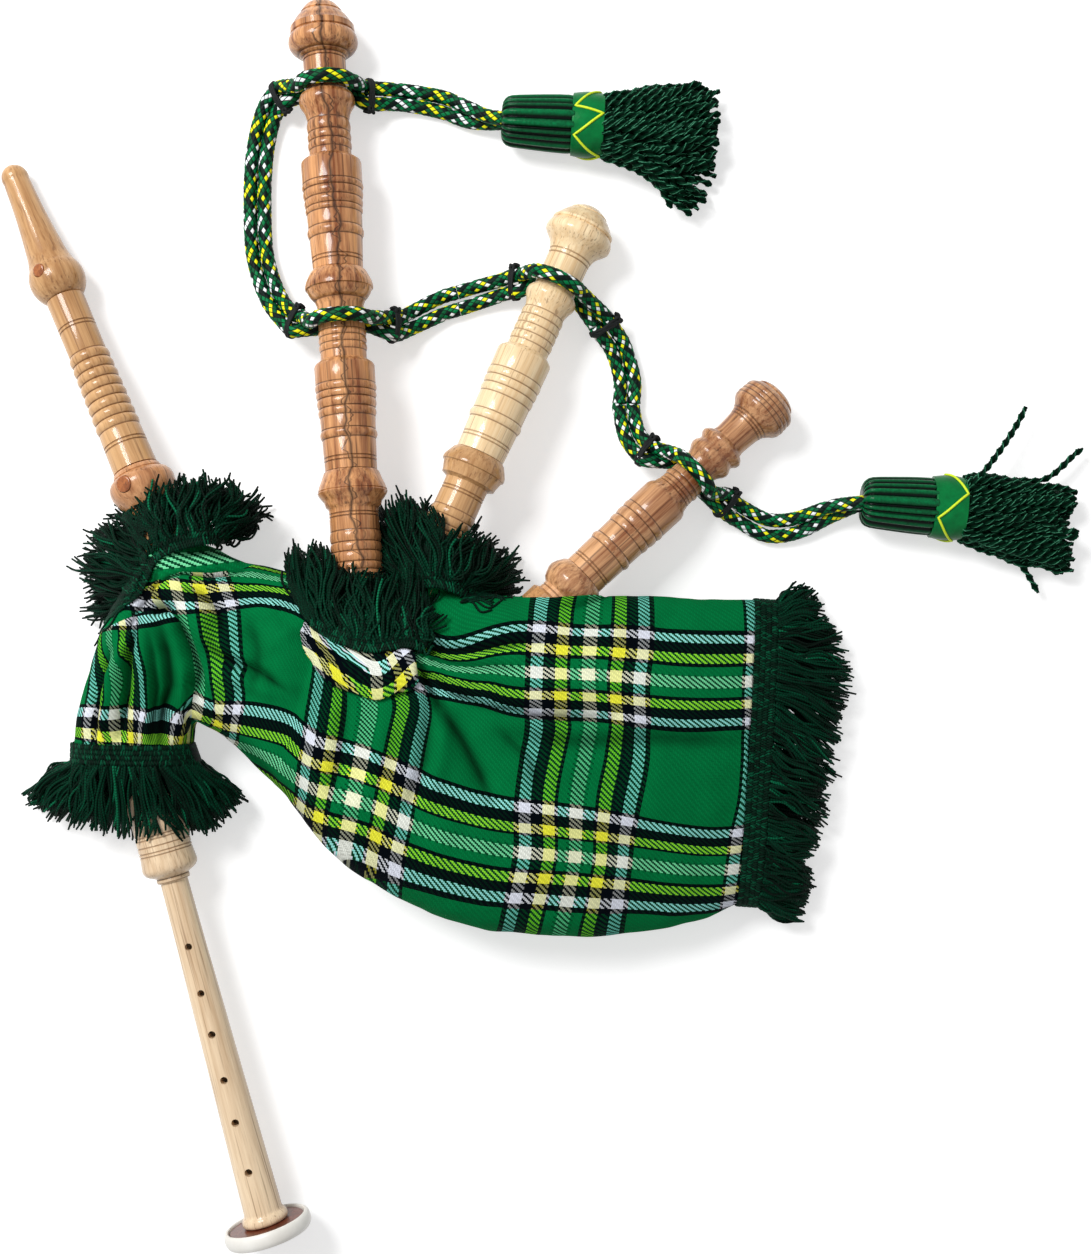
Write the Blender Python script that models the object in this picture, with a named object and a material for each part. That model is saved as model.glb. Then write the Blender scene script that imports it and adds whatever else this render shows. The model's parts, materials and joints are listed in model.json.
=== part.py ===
"""A miniature bagpipe lying flat: three drones, a blowpipe and a chanter in a tartan-covered bag.

All dimensions are in millimetres and are turned into metres when a mesh is made.
Each pipe has an empty at its tip, whose local Z runs down the bore towards the bag,
so every turned piece is drawn as (distance from the tip, radius).
"""
import math

import bmesh
import bpy
from mathutils import Matrix, Vector

MM = 0.001
GAP = 0.3
SIDES = 12
FLOOR = 0.5

# Driving dimensions of the pipes
BORE = 3.0
PIN = 5.6
WINDING = 6.3
SOCKET = 6.6
TENON = 8.0
STOCK_BORE = 8.3
STOCK = 13.0
PEG_ANGLE = math.radians(20)

# Driving dimensions of the blowpipe, as distances from its tip and radii
BLOW_BORE = 2.4
BLOW_TENON = 6.7
BALL_AT = 63.8
BALL = 13.66
BULB_AT = 175.6
BULB = 16.1
BULB_TUBE = 8.3
STOCK_FACE = 188.0
STOCK_END = 235.0

# Finger holes of the chanter, as distances from its top and radii
HOLES = ((57.6, 1.75), (80.9, 1.75), (101.4, 1.8), (124.2, 1.8), (145.3, 1.85), (170.1, 1.9))
THUMB_HOLE = 47.0

# Tip of each pipe, and how far its axis leans from -Y and rises towards the bag, in degrees
PIPE_AXES = {
    "bass": ((-49.1, 304.3, 15.8), 4.18, 4.1),
    "tenor_left": ((83.8, 202.9, 15.7), -23.97, 5.5),
    "tenor_right": ((176.2, 112.5, 14.2), -47.12, 5.5),
    "blowpipe": ((-204.0, 226.3, 6.9), 23.69, 6.5),
    "chanter": ((-126.3, -101.1, 21.6), 15.11, 0.0),
}

# Driving dimensions of the bag cover
CLOTH = 1.5
RING = 12
SECTION_POWER = 0.85
WAIST = 0.45
UPPER = 0.55
LOWER = 0.62
BAG_SKIN = 1.5
BAG_CLEARANCE = 3.2

# One row for each cross-section of the cover from the rear mouth to the neck mouth:
# its lower corner, its upper corner, its height and how far the air bag stays inside the upper corner
COVER_SECTIONS = (
    ((155.0, -137.7), (164.0, 10.8), 34, 6),
    ((132.0, -145.7), (137.0, 11.8), 44, 6),
    ((107.0, -149.7), (107.0, 12.3), 52, 8),
    ((77.0, -151.2), (74.0, 12.8), 58, 22),
    ((42.0, -148.7), (40.0, 12.3), 62, 18),
    ((10.0, -140.7), (12.0, 25.3), 64, 3),
    ((-16.0, -128.7), (-13.0, 23.3), 64, 3),
    ((-38.0, -113.7), (-38.0, 12.3), 63, 3),
    ((-58.0, -91.7), (-62.0, 19.3), 60, 3),
    ((-78.0, -71.7), (-86.0, 31.3), 56, 3),
    ((-93.0, -56.7), (-110.0, 38.3), 52, 3),
    ((-103.0, -50.7), (-132.0, 27.3), 50, 3),
    ((-108.0, -48.7), (-150.0, 3.3), 48, 3),
    ((-110.0, -50.7), (-160.0, -21.7), 46, 3),
    ((-110.5, -54.7), (-166.0, -42.7), 44, 3),
    ((-111.0, -59.7), (-168.5, -58.7), 42, 3),
)

# Driving dimensions of the cord: two strands side by side
STRAND = 6.5
BAND_LENGTH = 3.5
BAND_WALL = 1.0
BAND_ROOM = 0.7
LOOP_ROOM = 0.9
OVER_SPREAD = 72
UNDER_SPREAD = 45

# Route of the cord from the first tassel to the second.
# An end, run or band gives the middle of the pair and half the way from strand two to strand one.
# A loop gives the pipe, the distance from its tip, the neck's radius, the strand that passes over it
# and the direction of travel across it (1 to the right). The cord is divided at the rows named cut.
CORD = (
    ("end", (41.3, 246.8, 14.0), (0.0, 0.0, 3.5)),
    ("run", (32.9, 248.2, 10.6), (0.0, 0.8, 3.4)),
    ("run", (22.8, 251.7, 7.2), (0.4, 2.6, 2.4)),
    ("run", (9.3, 257.6, 4.4), (0.8, 3.5, 0.4)),
    ("run", (-9.5, 260.8, 5.0), (0.0, 3.5, 0.0)),
    ("band", (-26.0, 260.2, 10.6), (0.0, 3.9, 0.0)),
    ("loop", "bass", 42.4, 10.3, 1, -1),
    ("band", (-69.6, 259.6, 9.6), (-2.0, 3.4, 0.0)),
    ("run", (-76.6, 251.3, 5.0), (-3.0, 1.7, 0.0)),
    ("run", (-80.9, 232.4, 3.8), (-3.5, 0.2, 0.0)),
    ("run", (-82.0, 207.6, 3.8), (-3.5, 0.0, 0.0)),
    ("run", (-80.6, 182.2, 3.9), (-3.5, -0.4, 0.0)),
    ("run", (-73.6, 161.2, 7.5), (-3.0, -1.7, 0.0)),
    ("band_cut", (-61.4, 147.1, 17.0), (-1.4, -3.5, 0.0)),
    ("loop", "bass", 159.4, 11.15, 2, 1),
    ("band", (-13.6, 145.3, 16.0), (-0.3, -3.9, 0.0)),
    ("run", (-5.2, 149.6, 7.6), (0.6, -3.8, 0.0)),
    ("run_cut", (9.2, 157.3, 3.9), (0.6, -4.2, 0.0)),
    ("run", (26.6, 162.8, 3.8), (0.4, -4.1, 0.0)),
    ("run", (38.8, 166.0, 6.2), (0.2, -3.7, 0.0)),
    ("band", (46.6, 167.4, 10.5), (0.0, -4.0, 0.0)),
    ("loop", "tenor_left", 42.0, 10.5, 2, 1),
    ("band_cut", (90.2, 146.0, 11.5), (-3.1, -2.1, 0.0)),
    ("run", (97.3, 136.3, 5.2), (-3.2, -1.4, 0.0)),
    ("run_cut", (101.8, 121.4, 3.8), (-3.5, 0.0, 0.0)),
    ("run", (101.4, 106.0, 4.2), (-3.5, -0.3, 0.0)),
    ("run", (103.9, 93.5, 8.0), (-3.1, -1.8, 0.0)),
    ("band", (111.0, 84.4, 11.5), (-2.1, -3.1, 0.0)),
    ("loop", "tenor_right", 59.4, 9.3, 2, 1),
    ("band", (150.0, 58.9, 11.0), (-2.4, -2.9, 0.0)),
    ("run", (158.4, 53.6, 5.6), (-1.8, -3.1, 0.0)),
    ("run", (171.6, 47.3, 3.8), (-0.4, -4.0, 0.0)),
    ("run", (185.9, 48.3, 4.6), (0.8, -3.4, -0.4)),
    ("run", (202.4, 55.0, 9.2), (0.6, -2.2, -3.0)),
    ("end", (217.9, 59.1, 14.0), (0.0, 0.0, -3.5)),
)

STRETCHES = ("bass_top", "bass_middle", "tenor_left", "drone_run", "tenor_right")

# Finish of each material: base colour, roughness and metallic
FINISHES = {
    "bass_wood": ((0.49, 0.22, 0.09), 0.45, 0.0),
    "tenor_wood": ((0.62, 0.38, 0.18), 0.45, 0.0),
    "dark_tenor_wood": ((0.48, 0.20, 0.10), 0.45, 0.0),
    "blowpipe_wood": ((0.58, 0.30, 0.12), 0.45, 0.0),
    "mount_wood": ((0.42, 0.17, 0.08), 0.45, 0.0),
    "chanter_wood": ((0.60, 0.36, 0.17), 0.45, 0.0),
    "peg_wood": ((0.35, 0.14, 0.06), 0.5, 0.0),
    "stock_wood": ((0.50, 0.28, 0.14), 0.5, 0.0),
    "sole_wood": ((0.22, 0.06, 0.04), 0.4, 0.0),
    "sole_rim_plastic": ((0.86, 0.84, 0.78), 0.35, 0.0),
    "hemp": ((0.72, 0.60, 0.40), 0.9, 0.0),
    "cane": ((0.78, 0.68, 0.38), 0.6, 0.0),
    "valve_leather": ((0.20, 0.12, 0.07), 0.7, 0.0),
    "bag_leather": ((0.30, 0.22, 0.15), 0.75, 0.0),
    "tartan_cloth": ((0.01, 0.18, 0.07), 0.85, 0.0),
    "fringe_thread": ((0.0, 0.05, 0.02), 0.8, 0.0),
    "green_cord": ((0.0, 0.09, 0.04), 0.8, 0.0),
    "black_band": ((0.01, 0.01, 0.01), 0.7, 0.0),
    "tassel_thread": ((0.0, 0.10, 0.05), 0.75, 0.0),
    "satin_band": ((0.0, 0.16, 0.05), 0.45, 0.0),
}


# Making objects

def clear_scene():
    for obj in list(bpy.data.objects):
        bpy.data.objects.remove(obj, do_unlink=True)


def finish_material(finish):
    known = bpy.data.materials.get(finish)
    if known:
        return known
    colour, roughness, metallic = FINISHES[finish]
    made = bpy.data.materials.new(finish)
    made.use_nodes = True
    shader = made.node_tree.nodes["Principled BSDF"]
    shader.inputs["Base Color"].default_value = (*colour, 1.0)
    shader.inputs["Roughness"].default_value = roughness
    shader.inputs["Metallic"].default_value = metallic
    return made


def add_object(name, mesh, finish, parent=None):
    obj = bpy.data.objects.new(name, mesh)
    bpy.context.scene.collection.objects.link(obj)
    obj.parent = parent
    if finish:
        mesh.materials.append(finish_material(finish))
    return obj


def smooth(mesh, angle=35):
    mesh.shade_smooth()
    mesh.set_sharp_from_angle(angle=math.radians(angle))


def mesh_of(name, points, faces):
    """A mesh with its faces turned outwards, from points in millimetres."""
    mesh = bpy.data.meshes.new(name)
    mesh.from_pydata([tuple(c * MM for c in point) for point in points], [], faces)
    shape = bmesh.new()
    shape.from_mesh(mesh)
    bmesh.ops.recalc_face_normals(shape, faces=shape.faces)
    shape.to_mesh(mesh)
    shape.free()
    return mesh


def helper(obj):
    obj.hide_render = True
    obj.display_type = "WIRE"
    return obj


def cut(obj, cutter):
    modifier = obj.modifiers.new("opening_" + cutter.name, "BOOLEAN")
    modifier.operation = "DIFFERENCE"
    modifier.solver = "EXACT"
    modifier.object = cutter


def axis_matrix(pipe):
    """World matrix of a pipe: X level, Y up and Z down the bore from its tip."""
    tip, lean, rise = PIPE_AXES[pipe]
    lean = math.radians(lean)
    rise = math.radians(rise)
    along = Vector((
        math.sin(lean) * math.cos(rise),
        -math.cos(lean) * math.cos(rise),
        math.sin(rise),
    ))
    level = Vector((0, 0, 1)).cross(along).normalized()
    up = along.cross(level)
    turn = Matrix((level, up, along)).transposed()
    return Matrix.Translation(Vector(tip) * MM) @ turn.to_4x4()


def add_axis(pipe):
    empty = bpy.data.objects.new(pipe + "_axis", None)
    empty.empty_display_size = 0.02
    bpy.context.scene.collection.objects.link(empty)
    empty.matrix_world = axis_matrix(pipe)
    return empty


def revolved(outline, sides, phase=0.0):
    """Points and faces of a closed (distance, radius) outline turned round the local Z axis."""
    points = []
    rings = []
    for along, radius in outline:
        count = sides if radius > 0 else 1
        rings.append(range(len(points), len(points) + count))
        for k in range(count):
            angle = phase + 2 * math.pi * k / sides
            points.append((radius * math.cos(angle), radius * math.sin(angle), along))
    faces = []
    for i, ring in enumerate(rings):
        following = rings[(i + 1) % len(rings)]
        if len(ring) == 1 and len(following) == 1:
            continue
        for k in range(sides):
            j = (k + 1) % sides
            corners = [ring[k % len(ring)], ring[j % len(ring)]]
            corners += [following[j % len(following)], following[k % len(following)]]
            faces.append(list(dict.fromkeys(corners)))
    return points, faces


def turned(name, axis, finish, outline, sides=SIDES):
    mesh = mesh_of(name, *revolved(outline, sides))
    smooth(mesh)
    return add_object(name, mesh, finish, axis)


def lofted(name, finish, rings, inner=None, parent=None):
    """Rings of points joined in order: capped at both ends, or a skin around the inner rings."""
    count = len(rings[0])
    loops = list(rings) + (list(reversed(inner)) if inner else [])
    points = [point for ring in loops for point in ring]
    faces = []
    steps = len(loops) if inner else len(loops) - 1
    for i in range(steps):
        a = i * count
        b = ((i + 1) % len(loops)) * count
        for k in range(count):
            j = (k + 1) % count
            faces.append([a + k, a + j, b + j, b + k])
    if not inner:
        faces.append(list(range(count)))
        faces.append(list(range(len(points) - count, len(points))))
    mesh = mesh_of(name, points, faces)
    smooth(mesh, 50)
    return add_object(name, mesh, finish, parent)


# Turned shapes, each a list of (distance from the tip, radius)

def bead(at, radius, width, height):
    """A rounded ring standing proud of the tube."""
    half = width / 2
    return [(at - half, radius), (at, radius + height), (at + half, radius)]


def groove(at, radius, width=1.0, depth=0.5):
    half = width / 2
    return [(at - half, radius), (at, radius - depth), (at + half, radius)]


def ribbed(first, last, count, height):
    """Equal ribs with a valley between neighbours, from one (distance, radius) to another."""
    points = []
    for i in range(count):
        for part, rise in ((0.0, 0.0), (0.5, height)):
            share = (i + part) / count
            at = first[0] + share * (last[0] - first[0])
            points.append((at, first[1] + share * (last[1] - first[1]) + rise))
    return points + [last]


def sweep(first, last, bulge, count=3):
    """A rounded passage between two points: outward for a positive bulge, hollow for a negative one."""
    points = [first]
    for i in range(1, count):
        share = i / count
        points.append((
            first[0] + share * (last[0] - first[0]),
            first[1] + share * (last[1] - first[1]) + bulge * math.sin(math.pi * share),
        ))
    return points + [last]


def sleeve(narrow, wide, ribs_from, ribs_to, ring_at, ring_radius, end):
    """The lower half of a top joint: shoulder, ribs, ring and foot."""
    return (
        [narrow, wide]
        + ribbed(ribs_from, ribs_to, 3, 0.45)
        + bead(ring_at, ring_radius - 1.0, 4.0, 1.2)
        + [end]
    )


def mount(start, peak, foot, neck):
    """The rounded collar in which a tuning pin stands."""
    return [
        (start[0], start[1] - 0.9),
        (start[0] + 1.0, start[1]),
        peak,
        (peak[0] + 1.6, peak[1] - 0.6),
        foot,
        neck,
    ]


def socket(end, depth):
    """Inside of a top joint: a wide socket for the pin, then the bore out to the tip."""
    return [(end, SOCKET), (depth, SOCKET), (depth, BORE), (0.0, BORE)]


def pin(top, foot):
    """Outside of a tuning pin from the mount up, with the recess for its winding."""
    recess = PIN - 0.6
    return [
        (foot, PIN),
        (top + 22.0, PIN),
        (top + 21.5, recess),
        (top + 7.0, recess),
        (top + 6.5, PIN),
        (top + 0.8, PIN),
        (top, PIN - 0.8),
        (top, BORE),
    ]


def winding(top):
    """The hemp wound in the recess of a pin."""
    inner = PIN - GAP
    first = top + 7.4
    last = top + 21.1
    return [(first, inner), (first, WINDING), (last, WINDING), (last, inner)]


def crown(rim_at, rim, tier_at, tier, neck):
    """The stepped cup at the outer end of a drone."""
    return [
        (0.0, 5.4),
        (5.6, 9.8),
        (tier_at - 2.5, tier - 1.9),
        (tier_at, tier),
        (rim_at - 4.4, tier),
        (rim_at - 3.4, rim - 0.4),
        (rim_at, rim),
        (rim_at + 3.7, rim - 1.4),
        (neck[0] - 2.0, neck[1] + 2.4),
        neck,
    ]


# The three drones

def stock_outline(first, last):
    return [
        (first, STOCK_BORE), (first, STOCK - 1.0), (first + 1.0, STOCK),
        (last - 1.0, STOCK), (last, STOCK - 1.0), (last, STOCK_BORE),
    ]


def tail(shoulder, seat):
    """The tenon of a lower joint in its stock, with the seat of the reed in its end."""
    return [
        (shoulder, TENON), (seat - 1.0, TENON), (seat, TENON - 1.0),
        (seat, BORE + 0.3), (seat - 9.0, BORE + 0.3), (seat - 9.0, BORE),
    ]


def drone_reed(name, axis, first, length):
    """A cane tube, closed at its inner end, with the flat on which the tongue is cut."""
    outline = [
        (first, 1.2), (first, 2.6), (first + 10.0, BORE), (first + length - 1.5, BORE),
        (first + length, 2.0), (first + length, 0.0), (first + length - 4.0, 0.0),
        (first + length - 4.0, 1.2),
    ]
    reed = turned(name, axis, "cane", outline, 10)
    flat = helper(add_object(name + "_flat", box_mesh(
        name + "_flat", (-3.5, 2.2, first + 13.0), (3.5, 4.5, first + length - 6.0)), None, axis))
    cut(reed, flat)


def box_mesh(name, low, high):
    rings = []
    for z in (low[2], high[2]):
        rings.append([(low[0], low[1], z), (high[0], low[1], z),
                      (high[0], high[1], z), (low[0], high[1], z)])
    points = rings[0] + rings[1]
    faces = [[0, 1, 2, 3], [4, 5, 6, 7]]
    faces += [[k, (k + 1) % 4, 4 + (k + 1) % 4, 4 + k] for k in range(4)]
    return mesh_of(name, points, faces)


def bass_drone(axis):
    turned("bass_top_joint", axis, "bass_wood",
           crown(20.8, 17.0, 12.8, 15.6, (29.4, 10.4))
           + [(45.0, 10.3)]
           + sweep((46.0, 11.0), (55.0, 12.0), 2.0, 2)
           + sweep((55.6, 11.4), (59.4, 10.3), -0.5, 2)
           + ribbed((61.0, 10.0), (71.0, 10.0), 2, 0.5)
           + sleeve((77.9, 10.25), (81.1, 14.7), (94.0, 14.0), (107.0, 13.1),
                    116.4, 14.1, (134.1, 12.1))
           + socket(134.1, 60.0))
    turned("bass_middle_joint", axis, "bass_wood",
           mount((134.4, 13.6), (142.7, 16.5), (149.5, 12.1), (152.1, 11.15))
           + [(165.0, 11.0)]
           + ribbed((165.5, 10.7), (171.0, 10.7), 2, 0.4)
           + sleeve((178.4, 11.1), (181.6, 14.65), (190.8, 14.1), (206.9, 13.1),
                    215.4, 14.0, (232.6, 12.5))
           + [(232.6, SOCKET), (160.0, SOCKET), (160.0, BORE)]
           + list(reversed(pin(74.0, 134.4))))
    turned("bass_lower_joint", axis, "bass_wood",
           mount((232.9, 13.5), (243.2, 16.8), (250.0, 13.3), (251.2, 11.9))
           + [(260.0, 11.9)]
           + ribbed((262.1, 11.7), (281.2, 11.7), 4, 0.5)[:-1]
           + [(283.0, 11.9)]
           + tail(283.0, 305.0)
           + list(reversed(pin(174.0, 232.9))))
    turned("bass_upper_hemp", axis, "hemp", winding(74.0))
    turned("bass_lower_hemp", axis, "hemp", winding(174.0))
    turned("bass_stock", axis, "stock_wood", stock_outline(283.3, 338.0))
    drone_reed("bass_reed", axis, 296.3, 36.0)


def left_tenor_drone(axis):
    turned("tenor_left_top_joint", axis, "tenor_wood",
           crown(16.5, 16.9, 10.3, 15.6, (28.7, 10.5))
           + [(45.5, 10.4)]
           + sweep((46.0, 11.0), (53.0, 11.6), 1.6, 2)
           + sweep((53.4, 11.2), (57.2, 10.1), -0.4, 2)
           + ribbed((61.0, 10.0), (71.0, 10.0), 2, 0.5)
           + sleeve((78.0, 10.45), (81.7, 13.84), (92.1, 13.4), (104.8, 12.7),
                    116.1, 13.46, (134.1, 12.0))
           + socket(134.1, 60.0))
    turned("tenor_left_lower_joint", axis, "tenor_wood",
           mount((134.4, 13.3), (141.5, 16.1), (148.4, 13.4), (149.8, 10.7))
           + [(162.0, 10.8)]
           + ribbed((163.0, 10.6), (174.0, 10.6), 3, 0.4)
           + tail(175.7, 196.0)
           + list(reversed(pin(74.0, 134.4))))
    turned("tenor_left_hemp", axis, "hemp", winding(74.0))
    turned("tenor_left_stock", axis, "stock_wood", stock_outline(176.0, 208.0))
    drone_reed("tenor_left_reed", axis, 187.3, 30.0)


def right_tenor_drone(axis):
    turned("tenor_right_top_joint", axis, "dark_tenor_wood",
           [(0.0, 5.0), (0.9, 8.4), (2.9, 11.1), (6.2, 13.4)]
           + ribbed((6.5, 14.2), (14.3, 14.6), 2, 0.4)
           + sweep((16.0, 14.6), (21.6, 10.1), 0.9, 2)
           + [(28.0, 9.1), (35.5, 8.9), (39.6, 12.5), (44.2, 10.9), (47.7, 12.0),
              (53.4, 9.2), (64.0, 9.2)]
           + bead(66.7, 9.3, 3.0, 0.9)
           + sleeve((75.3, 10.6), (78.6, 12.3), (90.8, 12.1), (104.4, 11.3),
                    114.5, 12.2, (132.6, 11.0))
           + socket(132.6, 68.0))
    turned("tenor_right_lower_joint", axis, "dark_tenor_wood",
           mount((132.9, 12.6), (139.6, 15.0), (146.2, 12.6), (147.6, 10.6))
           + tail(151.7, 172.0)
           + list(reversed(pin(80.0, 132.9))))
    turned("tenor_right_hemp", axis, "hemp", winding(80.0))
    turned("tenor_right_stock", axis, "stock_wood", stock_outline(152.0, 190.0))
    drone_reed("tenor_right_reed", axis, 163.3, 30.0)


# The blowpipe and its valve


def ball_profile(centre, radius, first, last, count):
    """Points on a ball between two distances along the axis."""
    points = []
    for i in range(count + 1):
        at = first + (last - first) * i / count
        points.append((at, math.sqrt(max(radius ** 2 - (at - centre) ** 2, 0.0))))
    return points


def rod(name, radius, first, last, place, finish=None, parent=None, sides=12):
    """A plain round rod along the Z axis of the given matrix."""
    outline = [(first, 0.0), (first, radius), (last, radius), (last, 0.0)]
    mesh = mesh_of(name, *revolved(outline, sides))
    obj = add_object(name, mesh, finish, parent)
    obj.matrix_local = place
    return obj


def radial(at):
    """Frame of a dowel that runs out from the axis at a distance from the tip."""
    turn = Matrix.Rotation(PEG_ANGLE, 4, "Z") @ Matrix.Rotation(-math.pi / 2, 4, "X")
    return Matrix.Translation(Vector((0, 0, at * MM))) @ turn


def blowpipe(axis):
    end_ball = ball_profile(6.9, 6.7, 0.9, 8.9, 4)
    mouthpiece = turned(
        "blowpipe_mouthpiece", axis, "blowpipe_wood",
        end_ball
        + sweep((10.6, 6.6), (28.8, 7.6), 0.1, 2)
        + [(50.1, 9.9)]
        + ball_profile(BALL_AT, BALL, 54.6, 73.0, 6)
        + [(74.0, BLOW_TENON + 0.3), (54.0, BLOW_TENON + 0.3), (54.0, BLOW_BORE),
           (0.9, BLOW_BORE)])
    tube = turned(
        "blowpipe_tube", axis, "blowpipe_wood",
        [(54.3, BLOW_BORE), (54.3, BLOW_TENON - 0.6), (55.0, BLOW_TENON), (74.3, BLOW_TENON),
         (74.3, 9.3)]
        + ribbed((103.0, 9.4), (148.5, 10.3), 8, 0.55)
        + [(166.7, 10.9), (166.7, BULB_TUBE - GAP), (187.2, BULB_TUBE - GAP),
           (187.2, 7.8), (214.0, 7.8), (215.0, 7.0), (215.0, BLOW_BORE)])
    bulb = turned(
        "blowpipe_bulb", axis, "mount_wood",
        [(167.0, BULB_TUBE), (167.0, 11.2), (168.4, 11.7), (169.3, 11.3)]
        + sweep((170.0, 11.9), (183.0, 12.7), 4.0, 6)
        + [(185.2, 12.1), (187.0, 11.4), (187.0, BULB_TUBE)])
    for name, at, hole, top, foot, bodies in (
        ("blowpipe_mouthpiece_peg", 60.5, 3.1, BALL - 0.1, 3.6, (mouthpiece, tube)),
        ("blowpipe_bulb_peg", BULB_AT, 3.9, BULB + 0.2, 4.2, (bulb, tube)),
    ):
        rod(name, hole, foot, top, radial(at), "peg_wood", axis)
        drill = helper(rod(name + "_hole", hole + GAP, foot - GAP, BULB + 6.0,
                           radial(at), None, axis))
        for body in bodies:
            cut(body, drill)
    turned("blowpipe_stock", axis, "stock_wood",
           [(STOCK_FACE, 8.1), (STOCK_FACE, STOCK - 1.0), (STOCK_FACE + 1.0, STOCK),
            (STOCK_END - 1.0, STOCK), (STOCK_END, STOCK - 1.0), (STOCK_END, 8.1)])
    valve_flap(axis)


def valve_flap(axis):
    """A leather disc over the inner end of the blowpipe stock, hinged on a tab at its top."""
    hinge = Matrix.Translation(Vector((0, 10.0 * MM, (STOCK_END + GAP) * MM)))
    radius = 9.4
    outline = []
    for k in range(15):
        angle = math.radians(-240 + 300 * k / 14)
        outline.append((radius * math.cos(angle), radius * math.sin(angle) - 10.0))
    outline += [(4.7, 0.0), (-4.7, 0.0)]
    rings = [[(x, y, z) for x, y in outline] for z in (0.0, 1.2)]
    flap = lofted("valve_flap", "valve_leather", rings, parent=axis)
    flap.matrix_local = hinge


# The chanter


def chanter(axis):
    body = turned(
        "chanter", axis, "chanter_wood",
        [(-5.0, 2.2), (-5.0, 5.8), (-4.2, 6.4), (22.9, 6.4), (22.9, 7.9), (25.0, 7.9), (25.6, 6.7)]
        + [(57.6, 7.07), (80.9, 7.5), (124.2, 8.17), (170.1, 9.02), (191.0, 9.4)]
        + [(192.8, 10.3), (196.1, 11.2), (197.3, 10.4), (197.3, 6.0), (203.6, 6.0), (203.6, 4.4)])
    tools = []
    for at, radius in HOLES:
        tools.append((Matrix.Translation(Vector((0, 0, at * MM)))
                      @ Matrix.Rotation(-math.pi / 2, 4, "X"), radius))
    tools.append((Matrix.Translation(Vector((0, 0, THUMB_HOLE * MM)))
                  @ Matrix.Rotation(math.pi / 2, 4, "X"), 1.9))
    shape = bmesh.new()
    for place, radius in tools:
        points, faces = revolved([(0.5, 0.0), (0.5, radius), (14.0, radius), (14.0, 0.0)], 8)
        corners = [shape.verts.new(place @ (Vector(point) * MM)) for point in points]
        for face in faces:
            shape.faces.new([corners[i] for i in face])
    bmesh.ops.recalc_face_normals(shape, faces=shape.faces)
    drills = bpy.data.meshes.new("finger_holes")
    shape.to_mesh(drills)
    shape.free()
    cut(body, helper(add_object("finger_holes", drills, None, axis)))
    turned("chanter_sole", axis, "sole_wood",
           [(197.8, 6.3), (197.8, 18.2), (203.4, 18.2), (203.4, 6.3)], 18)
    turned("chanter_sole_rim", axis, "sole_rim_plastic",
           [(197.6, 18.8), (197.0, 20.0), (198.2, 21.0), (201.0, 21.3), (203.6, 20.8),
            (204.6, 19.6), (204.2, 18.8)], 18)
    turned("chanter_stock", axis, "chanter_wood",
           [(-70.0, 6.8), (-70.0, 12.0), (-69.0, STOCK), (-2.0, 12.9)]
           + groove(1.7, 12.9)
           + groove(6.1, 12.9)
           + groove(9.7, 12.9)
           + [(17.6, 13.5), (20.2, 12.4), (22.0, 10.0), (22.6, 8.6), (22.6, 6.8)])
    chanter_reed(axis)


def chanter_reed(axis):
    """A double reed: round staple in the chanter's top, two blades pressed flat at the tip."""
    rings = []
    inner = []
    for at, wide, thick, hollow in ((-34.0, 6.0, 1.3, 0.4), (-26.0, 5.6, 1.8, 0.4),
                                    (-18.0, 4.2, 2.6, 0.5), (-12.0, 2.6, 2.5, 0.6),
                                    (-5.4, 2.4, 2.4, 0.6)):
        angles = [2 * math.pi * k / 10 for k in range(10)]
        rings.append([(wide * math.cos(a), thick * math.sin(a), at) for a in angles])
        inner.append([(0.6 * x, hollow * y, at) for x, y, at in rings[-1]])
    lofted("chanter_reed", "cane", rings, inner, axis)


# The bag and its cover

def section(lower, upper, height, grow=0.0, base=0.0):
    """One cross-section of the cover: full above, pressed flat where it lies on the table."""
    a = Vector(lower)
    b = Vector(upper)
    middle = (a + b) / 2
    across = (b - a).normalized()
    half = (b - a).length / 2 + grow
    points = []
    for k in range(RING):
        angle = 2 * math.pi * k / RING
        side = math.copysign(abs(math.cos(angle)) ** SECTION_POWER, math.cos(angle))
        tall = abs(math.sin(angle)) ** SECTION_POWER
        if math.sin(angle) >= 0:
            z = WAIST * height + (UPPER * height + grow) * tall
        else:
            z = WAIST * height - (LOWER * height + grow) * tall
        spot = middle + across * (half * side)
        points.append((spot.x, spot.y, max(z, base)))
    return points


def cover_rings(grow):
    base = -grow
    return [section(low, high, tall, grow, base) for low, high, tall, _ in COVER_SECTIONS]


def bag_rings(grow):
    """The air bag: inside the cover all round, and clear of the right tenor's collar."""
    rings = []
    rows = COVER_SECTIONS[0:5:2] + COVER_SECTIONS[5:-1]
    for i, (low, high, tall, inset) in enumerate(rows):
        across = (Vector(high) - Vector(low)).normalized()
        b = Vector(high) - across * inset
        a = Vector(low) + across * (0.15 * inset)
        push = Vector((0.0, 0.0))
        if i == 0:
            push = Vector((-8.0 + grow, 0.0))
        if i == len(rows) - 1:
            push = Vector((0.0, -grow))
        rings.append(section(a + push, b + push, tall, grow - BAG_CLEARANCE,
                             BAG_CLEARANCE - grow))
    return rings


def pass_through(obj, pipe, radius, first, last):
    """An opening in the cloth or the skin round one pipe."""
    name = obj.name + "_" + pipe + "_opening"
    cut(obj, helper(rod(name, radius, first, last, axis_matrix(pipe), sides=12)))


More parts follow.
